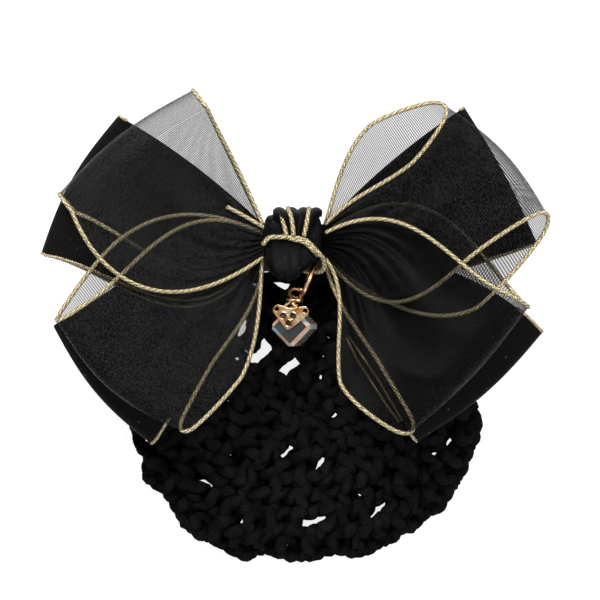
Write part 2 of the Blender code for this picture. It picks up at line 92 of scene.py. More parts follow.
def scaled(tree, number, factor, added):
    return do_math(tree, "MULTIPLY_ADD", number, factor, added)


def do_vector(tree, operation, *vectors, Scale=None):
    """One step of arithmetic on vectors."""
    node = add_node(tree, "ShaderNodeVectorMath", {"operation": operation})
    for socket, vector in zip(node.inputs, vectors):
        feed(tree, socket, vector)
    if Scale is not None:
        feed(tree, node.inputs["Scale"], Scale)
    return node.outputs[0]


def do_wave(tree, distance, pitch):
    """A smooth wave from 0 to 1, with one crest to each pitch."""
    turns = do_math(tree, "DIVIDE", distance, pitch)
    swing = do_math(tree, "SINE", times(tree, turns, 2 * pi))
    return scaled(tree, swing, 0.5, 0.5)


def new_tree(name, kind, outputs, **inputs):
    """A node tree, the sockets it is given, and those of its result.

    A number that it is given is named with its usual value, and anything else with its kind."""
    tree = bpy.data.node_groups.new(name, kind)
    for label, value in inputs.items():
        is_number = isinstance(value, float)
        socket = tree.interface.new_socket(label.replace("_", " "), in_out="INPUT",
                                           socket_type="NodeSocket" + ("Float" if is_number else value))
        if is_number:
            socket.default_value = value
    for label in outputs:
        made = "Geometry" if label == "Geometry" else "Float"
        tree.interface.new_socket(label, in_out="OUTPUT", socket_type="NodeSocket" + made)
    return tree, tree.nodes.new("NodeGroupInput").outputs, tree.nodes.new("NodeGroupOutput").inputs


# %% [markdown]
# ## Effects that several finishes share
# Cloth, cord and metal all need fine detail that changes over the surface, so three small shader
# groups are built once. "Woven ribs" draws threads that run across a ribbon from the ribbon's own
# UV map, which is in metres of cloth, so the threads bend with the gathers. "Soft variation" makes
# patches of tone and a few specks, which are lint or wear on some finishes and painted glints on
# the organza. "Cord ribs" draws the ribs round a cord from a number that each cord carries: how far
# along it a point lies.

# %% The woven ribs group
THREAD_HEIGHT = 0.35
weave, given, result = new_tree("woven ribs", "ShaderNodeTree", ["Ribs", "Height"], Cloth="Vector",
                                Rib_pitch=0.5 * MM, Thread_pitch=0.3 * MM)
split = add_node(weave, "ShaderNodeSeparateXYZ", Vector=given["Cloth"])
ribs = do_wave(weave, split.outputs["Y"], given["Rib pitch"])
threads = do_wave(weave, split.outputs["X"], given["Thread pitch"])
feed(weave, result["Ribs"], ribs)
feed(weave, result["Height"], scaled(weave, threads, THREAD_HEIGHT, ribs))
print("woven ribs", len(weave.nodes), "nodes")

# %% The soft variation group
SPECK_CORE = 0.35
variation, given, result = new_tree("soft variation", "ShaderNodeTree", ["Patches", "Grain", "Specks"],
                                    Place="Vector", Patch_size=4 * MM, Speck_size=0.5 * MM, Speck_share=0.04)
place = given["Place"]
broad = do_math(variation, "DIVIDE", 1.0, given["Patch size"])
fine = do_math(variation, "DIVIDE", 1.0, given["Speck size"])
patches = add_node(variation, "ShaderNodeTexNoise", Vector=place, Detail=3.0, Scale=broad)
grain = add_node(variation, "ShaderNodeTexNoise", Vector=place, Detail=2.0, Scale=fine)
flecks = add_node(variation, "ShaderNodeTexVoronoi", Vector=place, Scale=fine)
chance = add_node(variation, "ShaderNodeSeparateColor", Color=flecks.outputs["Color"])
rare = do_math(variation, "LESS_THAN", chance.outputs["Red"], given["Speck share"])
core = do_math(variation, "LESS_THAN", flecks.outputs["Distance"], SPECK_CORE)
feed(variation, result["Patches"], patches.outputs["Fac"])
feed(variation, result["Grain"], grain.outputs["Fac"])
feed(variation, result["Specks"], times(variation, rare, core))
print("soft variation", len(variation.nodes), "nodes")

# %% The cord ribs group
cord_ribs, given, result = new_tree("cord ribs", "ShaderNodeTree", ["Ribs"], Along=0.0, Around=0.0,
                                    Rib_pitch=0.5 * MM, Slant=0.0)
slanted = scaled(cord_ribs, given["Around"], given["Slant"], given["Along"])
feed(cord_ribs, result["Ribs"], do_wave(cord_ribs, slanted, given["Rib pitch"]))
print("cord ribs", len(cord_ribs.nodes), "nodes")


# %% [markdown]
# ## Finishes
# A material here starts with the constant values of its shader, set on the shader's own sockets.
# What changes over the surface is joined afterwards: colour from patches and ribs, roughness from
# the grain, and a bump from the ribs.

# %% Material helpers
# A mix node has sockets of the same label for each kind of value, so those for colours are counted.
MIX_COLOURS = slice(6, 8)
MIX_RESULT = 2


def new_finish(name, colour, roughness, **constants):
    """A material, its tree and its Principled shader."""
    finish = bpy.data.materials.new(name)
    finish.use_nodes = True
    shader = finish.node_tree.nodes["Principled BSDF"]
    shader.inputs["Base Color"].default_value = (*colour, 1.0)
    shader.inputs["Roughness"].default_value = roughness
    for label, value in constants.items():
        shader.inputs[label.replace("_", " ")].default_value = value
    return finish, finish.node_tree, shader


def use_group(tree, group, **values):
    """Places a shared group in a material, and gives its outputs."""
    return add_node(tree, "ShaderNodeGroup", {"node_tree": group}, **values).outputs


def place_of(tree):
    return add_node(tree, "ShaderNodeTexCoord").outputs["Object"]


def vary(tree, patch, speck, share, place=None):
    """Soft variation over a piece, with the sizes of its patches and specks in millimetres."""
    return use_group(tree, variation, Place=place_of(tree) if place is None else place,
                     Patch_size=patch * MM, Speck_size=speck * MM, Speck_share=share)


def woven_cloth(tree, rib, thread):
    """The weave of a ribbon from its own map of the cloth, with the pitches in millimetres."""
    cloth = add_node(tree, "ShaderNodeUVMap", {"uv_map": "cloth"}).outputs["UV"]
    return use_group(tree, weave, Cloth=cloth, Rib_pitch=rib * MM, Thread_pitch=thread * MM)


def carried(tree, name):
    """A number that the piece's mesh carries."""
    return add_node(tree, "ShaderNodeAttribute", {"attribute_name": name}).outputs["Fac"]


def between(tree, share, low, high):
    """A number or colour that goes from low to high as share goes from 0 to 1."""
    if isinstance(high, float):
        return scaled(tree, share, high - low, low)
    node = add_node(tree, "ShaderNodeMix", {"data_type": "RGBA"}, Factor=share)
    for socket, colour in zip(node.inputs[MIX_COLOURS], (low, high)):
        feed(tree, socket, (*colour, 1.0) if isinstance(colour, tuple) else colour)
    return node.outputs[MIX_RESULT]


def turned_from_view(tree, power):
    """From 0 where the surface faces the view to 1 where it turns away."""
    facing = add_node(tree, "ShaderNodeLayerWeight", Blend=0.5).outputs["Facing"]
    return do_math(tree, "POWER", facing, power)


def drive(tree, shader, **sources):
    """Joins the shader's sockets, by their labels, to what changes over the surface."""
    for label, source in sources.items():
        feed(tree, shader.inputs[label.replace("_", " ")], source)


def raise_bump(tree, shader, height, distance, strength=1.0):
    """A bump of a height in millimetres."""
    node = add_node(tree, "ShaderNodeBump", Height=height, Distance=distance * MM, Strength=strength)
    feed(tree, shader.inputs["Normal"], node.outputs["Normal"])


# %% [markdown]
# ### Organza
# Organza is a sheer weave of stiff, fine threads. Most of the light goes straight through, so two
# layers over white look mid grey and four look almost black. The material is dark and slightly
# glossy, and its alpha follows the threads. The mesh is a closed sheet with two skins, so each skin
# holds back about a quarter of the light, and more where the cloth turns away at a fold. Each loop
# carries how closely it is woven and a level of painted light: the upper left loop is painted lighter
# and the lower right one darker, as the light falls on them. The level scales the soft patches of
# dust in its colour and its rare specks, which are painted glints of single threads.

# %% Organza
ORGANZA_SKIN = (0.07, 0.41)
ORGANZA_TURNED = 0.6
ORGANZA_BUMP = (0.05, 0.6)
DUST_CONTRAST = (4.5, -1.75)
DUST_DEPTH = (1.6, 0.05)
organza, tree, shader = new_finish("black_organza", (0.02, 0.02, 0.022), 0.42, Specular_IOR_Level=0.06)
woven = woven_cloth(tree, 0.55, 0.42)
varied = vary(tree, 5, 0.6, 0.05)
# Painted light: each loop's level makes the upper left loop lighter and the lower right one darker, and
# scales its dust and its painted glints.
painted_light_level = carried(tree, "dust_and_painted_light")
grains = do_math(tree, "MAXIMUM", scaled(tree, varied["Grain"], *DUST_CONTRAST), 0.0)
dust_and_painted_light = times(tree, varied["Patches"], grains)
dust_and_painted_light = times(tree, scaled(tree, dust_and_painted_light, *DUST_DEPTH), painted_light_level)
dark = between(tree, dust_and_painted_light, (0.001, 0.001, 0.0011), (0.024, 0.0235, 0.0245))
# Rare specks painted as glints of single threads, as many as the loop's level of painted light allows.
glint = times(tree, varied["Specks"], painted_light_level)
threads = times(tree, between(tree, woven["Ribs"], *ORGANZA_SKIN), carried(tree, "closeness"))
closed = do_math(tree, "ADD", threads, times(tree, turned_from_view(tree, 3.0), ORGANZA_TURNED))
drive(tree, shader, Base_Color=between(tree, glint, dark, (0.0065, 0.0065, 0.0068)),
      Roughness=between(tree, varied["Grain"], 0.32, 0.55),
      Alpha=do_math(tree, "MINIMUM", closed, 1.0))
raise_bump(tree, shader, woven["Height"], *ORGANZA_BUMP)
print("organza", len(tree.nodes), "nodes")

# %% [markdown]
# ### Ribbed ribbon
# The four loops behind are opaque: a ribbon woven with fine ribs that run across it. It is deep
# black, matt, and only the crests of the ribs catch the light. Lint shows as small grey specks.

# %% Ribbed ribbon
ribbed, tree, shader = new_finish("black_ribbed_ribbon", (0.006, 0.006, 0.007), 0.62,
                                  Specular_IOR_Level=0.07)
woven = woven_cloth(tree, 0.62, 0.4)
varied = vary(tree, 6, 0.8, 0.015)
dark = between(tree, woven["Ribs"], (0.001, 0.001, 0.001), (0.006, 0.006, 0.006))
drive(tree, shader, Base_Color=between(tree, varied["Specks"], dark, (0.06, 0.06, 0.06)),
      Roughness=between(tree, varied["Patches"], 0.5, 0.75))
raise_bump(tree, shader, woven["Height"], 0.14, 0.9)
print("ribbed ribbon", len(tree.nodes), "nodes")

# %% [markdown]
# ### Gold thread
# The ribbon's edges are corded with metallic thread: pale strands of gold twisted with darker ones.
# Each strand of the mesh carries its own tone, and fine slanting ribs show the filament it is spun
# from. The hollows between the ribs get painted shade, and each strand painted shade towards its sides.

# %% Gold thread
# Each strand is painted darker towards its sides, where it turns from the view: painted shade.
gold_thread, tree, shader = new_finish("gold_thread", (0.8, 0.68, 0.4), 0.38)
ribs = use_group(tree, cord_ribs, Along=carried(tree, "along"), Around=carried(tree, "around"),
                 Rib_pitch=0.5 * MM, Slant=0.3 * MM)["Ribs"]
varied = vary(tree, 1.4, 0.5, 0.5)
pale = between(tree, carried(tree, "tone"), (0.04, 0.03, 0.015), (0.80, 0.69, 0.41))
# Painted shade in the hollows between the ribs.
shaded = between(tree, ribs, (0.20, 0.15, 0.07), pale)
painted_shade_and_wear = between(tree, varied["Specks"], shaded, (0.12, 0.09, 0.035))
drive(tree, shader, Base_Color=between(tree, turned_from_view(tree, 2.2), painted_shade_and_wear, (0.035, 0.027, 0.012)),
      Metallic=between(tree, varied["Patches"], 0.15, 0.55),
      Roughness=between(tree, varied["Grain"], 0.28, 0.5))
raise_bump(tree, shader, ribs, 0.06)
print("gold thread", len(tree.nodes), "nodes")

# %% [markdown]
# ### Yarn, polished gold, crystal and steel
# The bag is worked from a soft knitted tape, matt black, whose fine stitches cross at a slant. Its
# cords are painted darker the deeper they lie in the bag and lighter on the crests of the stitches, as
# painted shade and highlight. The charm is polished rose gold with faint rubbing marks in its surface,
# and light and dark patches of painted reflection in its colour. The crystal is clear glass with a
# slight smoke, and the barrette is steel, brushed and blackened.

# %% Yarn
KNIT_SLANT = 6 * MM
KNIT_DEPTH = (1.2, 0.35)
RISE_POWER = 1.6
yarn, tree, shader = new_finish("matte_black_yarn", (0.008, 0.008, 0.009), 0.8, Specular_IOR_Level=0.04)
along, around = carried(tree, "along"), carried(tree, "around")
knit = times(tree, *(use_group(tree, cord_ribs, Along=along, Around=around, Rib_pitch=0.62 * MM,
                               Slant=slant)["Ribs"] for slant in (KNIT_SLANT, -KNIT_SLANT)))
varied = vary(tree, 3.5, 0.45, 0.03)
# Painted shade and highlight: a cord is darker the deeper it lies in the bag, by its rise, and lighter on the
# crests of its knit stitches.
painted_shade_and_wear = times(tree, do_math(tree, "POWER", carried(tree, "rise"), RISE_POWER), varied["Patches"])
crest = times(tree, painted_shade_and_wear, scaled(tree, knit, *KNIT_DEPTH))
dark = between(tree, crest, (0.0003, 0.0003, 0.0003), (0.0165, 0.0165, 0.0172))
drive(tree, shader, Base_Color=between(tree, varied["Specks"], dark, (0.012, 0.012, 0.0125)),
      Roughness=between(tree, varied["Patches"], 0.65, 0.9))
raise_bump(tree, shader, knit, 0.16)
print("yarn", len(tree.nodes), "nodes")

# %% Polished gold
GOLD_PAINTED_REFLECTIONS = (3.2, -1.1)
rose_gold, tree, shader = new_finish("polished_gold", (0.86, 0.52, 0.28), 0.16, Metallic=1.0)
varied = vary(tree, 2.2, 0.3, 0.05)
# Painted reflections: light and dark patches over the polished metal stand in for what it reflects.
painted_reflections = scaled(tree, varied["Patches"], *GOLD_PAINTED_REFLECTIONS)
drive(tree, shader, Base_Color=between(tree, painted_reflections, (0.42, 0.17, 0.05), (1.0, 0.74, 0.46)),
      Roughness=between(tree, varied["Grain"], 0.16, 0.34))
raise_bump(tree, shader, varied["Patches"], 0.2, 0.8)
print("polished gold", len(tree.nodes), "nodes")

# %% Clear crystal
# The cut edges throw light back from inside the stone, so they are paler than its faces.
FIRE_CONTRAST = (6.0, -2.6)
crystal_glass, tree, shader = new_finish("clear_crystal", (0.90, 0.93, 0.96), 0.02,
                                         Transmission_Weight=0.5, IOR=1.54)
varied = vary(tree, 3, 0.6, 0.02)
face_tint = between(tree, varied["Patches"], (0.004, 0.008, 0.009), (0.07, 0.085, 0.09))
colours = scaled(tree, varied["Patches"], *FIRE_CONTRAST)
edge_tint = between(tree, colours, (0.95, 0.50, 0.26), (0.62, 0.84, 0.95))
drive(tree, shader, Base_Color=between(tree, carried(tree, "cut"), face_tint, edge_tint),
      Roughness=between(tree, varied["Grain"], 0.0, 0.05))
print("clear crystal", len(tree.nodes), "nodes")

# %% Brushed steel
steel, tree, shader = new_finish("brushed_steel", (0.10, 0.10, 0.105), 0.35, Metallic=1.0)
stretched = add_node(tree, "ShaderNodeMapping", Vector=place_of(tree), Scale=(0.05, 1.0, 1.0))
varied = vary(tree, 2, 0.25, 0.02, stretched.outputs["Vector"])
tint = between(tree, varied["Patches"], (0.06, 0.06, 0.062), (0.13, 0.13, 0.135))
drive(tree, shader, Base_Color=tint, Roughness=between(tree, varied["Grain"], 0.25, 0.48))
raise_bump(tree, shader, varied["Grain"], 0.02, 0.5)
print("brushed steel", len(tree.nodes), "nodes")

# %% [markdown]
# ## The bow
# The bow is eight loops of ribbon. Each loop leaves the knot, runs out, turns over in a soft fold
# and comes back underneath, so it has a front and a rear layer. A layer lies between two edge
# curves from the knot to the corners of its fold. The frame was built from such curves too, and its
# sizes are used here, in metres. Where the photograph shows an edge, the curve follows that.

# %% Sizes of the bow
CLIP_HEIGHT = 0.0080
GAP = 0.0003
BOW_HALF_WIDTH = 0.0635
BOW_HALF_HEIGHT = 0.0480
SPREAD = 0.0680
PLY_ROOM = 0.0011
LOOP_TAIL = 0.0010
LOOP_MOUTH = 0.0004
GATHER_HALF = 0.0047
GATHER_RISE = 0.0035
GATHER_SHARE = 0.80
KNOT_HALF_WIDTH = 0.0075
KNOT_SHIFT = 0.0005
KNOT_WALL = 0.0010
PLIES = 8
STEP = PLY_ROOM + 1.17 * GAP
WAIST_FLOOR = CLIP_HEIGHT + GAP + KNOT_WALL
WAIST_HEIGHT = PLIES * STEP + 3 * GAP
WAIST_TOP = WAIST_FLOOR + WAIST_HEIGHT
FIRST_PLY = WAIST_FLOOR + 2 * GAP + PLY_ROOM / 2
HELD = hypot(KNOT_HALF_WIDTH + LOOP_MOUTH + abs(KNOT_SHIFT), GATHER_RISE + GATHER_HALF)
RIBBON_WIDTH = 0.038
ORGANZA_THICK = 0.00022
RIBBED_THICK = 0.00045

# Each ply's pull away from its place at the waist, as shares of the waist's height
PLY_RISE = [
    # middle, fold
    (0.50, 0.52),
    (0.62, 0.64),
    (0.78, 0.52),
    (0.90, 0.60),
    (1.02, 0.62),
    (1.15, 0.68),
    (1.75, 0.99),
    (2.15, 0.90),
]

# Corners are shares of the bow's half width and half height, holds are shares of the gathered half
# height, and bulges are shares of an edge's length at a third and two thirds of it. Gold is how much
# of the upper and lower edge carries a cord, and ease is how often their turn at the fold is rounded.
# Closeness is how closely an organza loop is woven, and its last number its level of painted light, which
# paints the upper left loop lighter and the lower right one darker.
LOOPS = [
    dict(name="back_loop_lower_left", side=-1, plies=(0, 1), organza=False,
         upper=(-0.941, -0.385), lower=(-0.555, -1.0), hold=(0.55, -0.9), fold_bow=0.065,
         front=((0.06, 0.04), (0.03, 0.02)), rear=((0.08, 0.05), (0.05, 0.03)), gold=(0.0, 0.2)),
    dict(name="back_loop_upper_left", side=-1, plies=(2, 3), organza=False,
         upper=(-0.681, 0.708), lower=(-0.984, -0.005), hold=(0.92, -0.8), fold_bow=0.06,
         front=((0.02, 0.02), (0.22, 0.13)), rear=((0.03, 0.03), (0.25, 0.15)), gold=(0.12, 0.95)),
    dict(name="organza_loop_lower_left", side=-1, plies=(5, 6), organza=True,
         upper=(-0.917, -0.354), lower=(-0.425, -0.925), hold=(0.33, -1.2), fold_bow=0.10,
         front=((0.167, 0.068), (0.12, 0.157)), rear=((0.228, 0.203), (0.045, -0.018)), ease=(40, 140),
         closeness=1.2, dust_and_painted_light=1.0),
    dict(name="organza_loop_upper_left", side=-1, plies=(4, 7), organza=True,
         upper=(-0.386, 0.833), lower=(-0.906, 0.297), hold=(0.92, -1.3), fold_bow=0.055,
         front=((0.02, 0.02), (0.275, 0.257)), rear=((0.01, 0.015), (0.155, 0.10)), closeness=1.05, dust_and_painted_light=1.9),
    dict(name="back_loop_lower_right", side=1, plies=(0, 1), organza=False,
         upper=(0.988, -0.417), lower=(0.492, -0.99), hold=(0.5, -0.9), fold_bow=0.05,
         front=((0.05, 0.07), (0.03, 0.03)), rear=((0.06, 0.05), (0.05, 0.04)), gold=(0.2, 0.12)),
    dict(name="back_loop_upper_right", side=1, plies=(2, 3), organza=False,
         upper=(0.677, 0.75), lower=(0.961, 0.047), hold=(0.92, -0.8), fold_bow=0.025,
         front=((0.02, 0.02), (0.11, 0.09)), rear=((0.03, 0.03), (0.13, 0.10)), gold=(0.1, 0.4)),
    dict(name="organza_loop_upper_right", side=1, plies=(5, 6), organza=True,
         upper=(0.595, 0.755), lower=(1.0, 0.175), hold=(0.92, -1.3), fold_bow=0.075,
         front=((-0.043, -0.11), (0.25, 0.085)), rear=((0.175, 0.225), (0.30, 0.32)), ease=(80, 120),
         closeness=1.5, dust_and_painted_light=0.85),
    dict(name="organza_loop_lower_right", side=1, plies=(4, 7), organza=True,
         upper=(0.921, -0.286), lower=(0.462, -0.932), hold=(0.35, -1.4), fold_bow=0.04,
         front=((0.162, 0.07), (0.08, 0.215)), rear=((0.263, 0.19), (0.022, -0.026)), ease=(12, 100),
         closeness=1.4, dust_and_painted_light=0.2),
]
print(len(LOOPS), "loops; the waist is", round(WAIST_HEIGHT / MM, 1), "mm high")


# %% Where a layer lies
def ply_height(ply, distance):
    """The height of a layer at a distance from the knot."""
    v = min(max(0.0, distance - HELD) / (SPREAD - HELD), 1.0)
    start = FIRST_PLY + ply * STEP
    middle = start + PLY_RISE[ply][0] * WAIST_HEIGHT
    fold = start + PLY_RISE[ply][1] * WAIST_HEIGHT
    return start + 3 * v * v * (1 - v) * (middle - start) + v ** 3 * (fold - start)


def bulged(start, end, bulge, outward, u):
    """A point on an edge whose bulges at a third and two thirds of it are shares of its length."""
    # The handles of a cubic that passes through both bulges
    third, two_thirds = bulge
    near = 3 * third - 1.5 * two_thirds
    far = 3 * two_thirds - 1.5 * third
    offset = 3 * (1 - u) ** 2 * u * near + 3 * (1 - u) * u * u * far
    chord = end - start
    across = Vector((-chord.y, chord.x)).normalized()
    if across.dot(outward) < 0:
        across = -across
    return start + chord * u + across * (offset * chord.length)


# %% [markdown]
# ### Gathers
# A ribbon that is 38 mm wide is drawn through a knot only 8 mm high, so it has to pleat. Near the
# knot the pleats are narrow and as deep as the next layer allows. Further out they run together
# into a few broad, soft waves, and at the fold they are gone.

# %% Gathers
NARROW_PLEATS = 9
NARROW_DEPTH = 0.00052
NARROW_REACH = 0.55
NARROW_FADE = 0.6
NARROW_PHASE = 0.3
EDGE_CALM = 12
BROAD_WAVES = 2.5
BROAD_DEPTH = 0.0009
BROAD_HURRY = 1.05


def gather(u, t, phase, room):
    """How far a gathered layer stands off its smooth surface."""
    near = max(0.0, 1 - u / NARROW_REACH)
    narrow = NARROW_DEPTH * near ** NARROW_FADE * sin(2 * pi * NARROW_PLEATS * t + phase * NARROW_PHASE)
    swell = sin(pi * min(1.0, u * BROAD_HURRY)) * sqrt(sin(pi * t))
    broad = min(BROAD_DEPTH, room) * swell * sin(2 * pi * BROAD_WAVES * t + phase)
    return narrow * min(1.0, EDGE_CALM * t, EDGE_CALM * (1 - t)) + broad


# %% [markdown]
# ### One loop as rows of points
# The rows run along the ribbon: from inside the knot out along the front layer, round the fold, and
# back along the rear layer. Each point also gets its place in the flat cloth, in metres, which
# becomes the UV map.

# %% Rows of a loop
PHASE_STEP = 2.0
WAVE_ROOM = 0.45


def ribbon_rows(loop, stations, parts, bends):
    """Rows of points along a loop's ribbon, from the knot round its fold and back."""
    side = loop["side"]
    corners = [Vector((x * BOW_HALF_WIDTH, y * BOW_HALF_HEIGHT)) for x, y in (loop["upper"], loop["lower"])]
    mouth = KNOT_SHIFT + side * (KNOT_HALF_WIDTH + LOOP_MOUTH)
    starts = [Vector((mouth, GATHER_RISE + hold * GATHER_HALF * GATHER_SHARE)) for hold in loop["hold"]]
    spread = corners[0] - corners[1]
    outward = [spread, -spread]
    away = Vector((-spread.y, spread.x)).normalized()
    if away.dot(corners[0] + corners[1]) < 0:
        away = -away
    phase = PHASE_STEP * LOOPS.index(loop)
    shares = [k / parts for k in range(parts + 1)]

    def place(edges, u, t):
        flat = [bulged(starts[e], corners[e], edges[e], outward[e], u) for e in (0, 1)]
        return flat[0].lerp(flat[1], t) + away * (loop["fold_bow"] * spread.length * sin(pi * t) * u ** 3)

    def heights(flat):
        return [ply_height(ply, flat.length) for ply in loop["plies"]]

    def layer(front, u):
        row = []
        for t in shares:
            flat = place(loop["front" if front else "rear"], u, t)
            low, high = heights(flat)
            radius = (high - low) / 2
            flat = flat - away * (radius * u ** 4)
            stand = gather(u, t, phase + front, max(0.0, 2 * radius - STEP) * WAVE_ROOM)
            row.append(Vector((*flat, (high if front else low) + stand)))
        return row

    def tail(front):
        height = ply_height(loop["plies"][1 if front else 0], LOOP_TAIL)
        row = []
        for t in shares:
            y = starts[0].y + (starts[1].y - starts[0].y) * t
            row.append(Vector((side * LOOP_TAIL, y, height + gather(0.0, t, phase + front, 0.0))))
        return row

    rows = [tail(True)] + [layer(True, k / stations) for k in range(stations + 1)]
    for k in range(1, bends):
        turn = pi / 2 - pi * k / bends
        row = []
        for t in shares:
            flat = place(loop["front"], 1.0, t).lerp(place(loop["rear"], 1.0, t), k / bends)
            low, high = heights(flat)
            radius = (high - low) / 2
            flat = flat + away * (radius * (cos(turn) - 1))
            row.append(Vector((*flat, (low + high) / 2 + radius * sin(turn))))
        rows.append(row)
    rows += [layer(False, 1 - k / stations) for k in range(stations + 1)]
    rows.append(tail(False))
    return eased(rows, len(rows) // 2, *loop.get("ease", (0, 0)))


EASE_REACH = 20
EASE_FLAT = 0.3


def eased(rows, fold, upper, lower):
    """Rounds the turn of either edge at the fold, by letting points there move between their neighbours.

    The fold is then drawn back out to where it was, so the loop keeps its reach."""
    parts = len(rows[0]) - 1
    reached = [point.copy() for point in rows[fold]]
    for turn in range(max(upper, lower)):
        before = [list(row) for row in rows]
        for r in range(fold - EASE_REACH, fold + EASE_REACH + 1):
            near = 1 - abs(r - fold) / (EASE_REACH + 1)
            for k in range(parts + 1):
                high = max(0.0, 1 - 3 * k / parts) if turn < upper else 0.0
                low = max(0.0, 3 * k / parts - 2) if turn < lower else 0.0
                middle = (before[r - 1][k] + before[r + 1][k]) / 2
                rows[r][k] = before[r][k].lerp(middle, near * max(high, low))
    lost = [there - here for there, here in zip(reached, rows[fold])]
    for r in range(fold - EASE_REACH, fold + EASE_REACH + 1):
        far = max(0.0, abs(r - fold) / (EASE_REACH + 1) - EASE_FLAT) / (1 - EASE_FLAT)
        near = 1 - far * far * (3 - 2 * far)
        for k in range(parts + 1):
            rows[r][k] = rows[r][k] + near * lost[k]
    return rows


def gilded(rows, loop):
    """The edges of a loop that carry gold: all of them, or as far from the fold as is given."""
    fold = len(rows) // 2
    paths = []
    for k, share in zip((0, -1), loop.get("gold", (1.0, 1.0))):
        reach = round(share * (fold - 1))
        if reach:
            paths.append([row[k] for row in rows[fold - reach:fold + reach + 1]])
    return paths


# %% A sheet of ribbon from its rows
def put(name, data):
    """Adds an object to the scene."""
    thing = bpy.data.objects.new(name, data)
    bpy.context.collection.objects.link(thing)
    return thing


def place_mesh(name, mesh, finish):
    """Makes a piece of a mesh, with its finish, riding on the clip's one body."""
    mesh.materials.clear()
    mesh.materials.append(finish)
    piece = put(name, mesh)
    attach(piece, "root")
    return piece


def finished_mesh(name, shape):
    """The mesh of a shape, with its faces pointing out."""
    bmesh.ops.recalc_face_normals(shape, faces=shape.faces)
    mesh = bpy.data.meshes.new(name)
    shape.to_mesh(mesh)
    shape.free()
    return mesh


def round_angles(steps):
    return [2 * pi * k / steps for k in range(steps)]


def ribbon_sheet(name, rows, width, thickness):
    """A closed sheet on both sides of the rows, with a UV map in metres of cloth."""
    shape = bmesh.new()
    cloth = shape.loops.layers.uv.new("cloth")
    parts = len(rows[0]) - 1
    middle = parts // 2
    run = [0.0]
    for row, following in zip(rows, rows[1:]):
        run.append(run[-1] + (following[middle] - row[middle]).length)

    def normal(r, k):
        along = rows[min(r + 1, len(rows) - 1)][k] - rows[max(r - 1, 0)][k]
        across = rows[r][min(k + 1, parts)] - rows[r][max(k - 1, 0)]
        return along.cross(across).normalized()

    skins = [[[shape.verts.new(point + normal(r, k) * (side * thickness / 2)) for k, point in enumerate(row)]
              for r, row in enumerate(rows)] for side in (1, -1)]

    def face(*corners):
        made = shape.faces.new([skins[s][r][k] for s, r, k in corners])
        made.smooth = True
        for loop, (_, r, k) in zip(made.loops, corners):
            loop[cloth].uv = (width * k / parts, run[r])

    for r in range(len(rows) - 1):
        for k in range(parts):
            face((0, r, k), (0, r + 1, k), (0, r + 1, k + 1), (0, r, k + 1))
            face((1, r, k), (1, r, k + 1), (1, r + 1, k + 1), (1, r + 1, k))
        for k, turned in ((0, False), (parts, True)):
            rim = [(0, r, k), (1, r, k), (1, r + 1, k), (0, r + 1, k)]
            face(*(rim[::-1] if turned else rim))
    for r, turned in ((0, True), (len(rows) - 1, False)):
        for k in range(parts):
            rim = [(0, r, k), (1, r, k), (1, r, k + 1), (0, r, k + 1)]
            face(*(rim[::-1] if turned else rim))
    return finished_mesh(name, shape), run[-1]


# %% The eight loops
# Stations along a layer, parts across it, and steps round its fold
ORGANZA_GRID = (40, 72, 12)
RIBBED_GRID = (40, 64, 8)
ribbon_paths = {}
ribbon_rows_of = {}
ribbon_sheets = {}
for loop in LOOPS:
    sheer = loop["organza"]
    rows = ribbon_rows(loop, *(ORGANZA_GRID if sheer else RIBBED_GRID))
    mesh, length = ribbon_sheet(loop["name"] + "_cloth", rows, RIBBON_WIDTH,
                                ORGANZA_THICK if sheer else RIBBED_THICK)
    piece = place_mesh(loop["name"] + "_cloth", mesh, organza if sheer else ribbed)
    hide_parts(loop["name"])
    ribbon_sheets[loop["name"]] = (piece, length)
    # Organza loops carry their closeness and their level of painted light.
    for carry in ("closeness", "dust_and_painted_light") if sheer else ():
        layer = mesh.attributes.new(carry, "FLOAT", "POINT")
        layer.data.foreach_set("value", [loop[carry]] * len(mesh.vertices))
    ribbon_paths[loop["name"]] = gilded(rows, loop)
    ribbon_rows_of[loop["name"]] = rows
    print(piece.name, len(mesh.polygons), "faces,", round(length / MM), "mm of ribbon")

# %% [markdown]
# ## Corded edges
# The edges of the ribbons are bound with a twisted gold cord. Along such a path the shape follows
# a rule, so Geometry Nodes make it: the path is resampled evenly, three copies of it wind round it
# like the strands of a rope, and each copy becomes a thin round strand. Every point keeps how far
# along it lies, how far round its strand, and its strand's tone, for the material.

# %% Geometry Nodes helpers
def socket_of(tree, label):
    """The identifier of one of a tree's inputs, which is what a modifier asks for."""
    return next(item.identifier for item in tree.interface.items_tree
                if item.name == label and item.in_out == "INPUT")


def path_object(name, paths, closed=False, extra=None):
    """An object of bare edges along paths of points, with numbers carried by its points if given."""
    points, edges = [], []
    for path in paths:
        first = len(points)
        points += [tuple(p) for p in path]
        edges += [(k, k + 1) for k in range(first, len(points) - 1)]
        if closed:
            edges.append((len(points) - 1, first))
    mesh = bpy.data.meshes.new(name)
    mesh.from_pydata(points, edges, [])
    for label, kind, values in extra or []:
        layer = mesh.attributes.new(label, kind, "POINT")
        for item, value in zip(layer.data, values):
            if kind == "FLOAT":
                item.value = value
            else:
                item.vector = value
    return put(name, mesh)


def mesh_of(source):
    """The plain mesh that an object gives, which is then removed."""
    graph = bpy.context.evaluated_depsgraph_get()
    made = bpy.data.meshes.new_from_object(source.evaluated_get(graph), depsgraph=graph)
    bpy.data.objects.remove(source, do_unlink=True)
    return made


def grown_mesh(name, source, tree, **values):
    """Runs a tree on an object, with its usual values or those given, and keeps the plain mesh."""
    step = source.modifiers.new(tree.name, "NODES")
    step.node_group = tree
    for label, value in values.items():
        step[socket_of(tree, label.replace("_", " "))] = value
    made = mesh_of(source)
    made.name = name
    return made


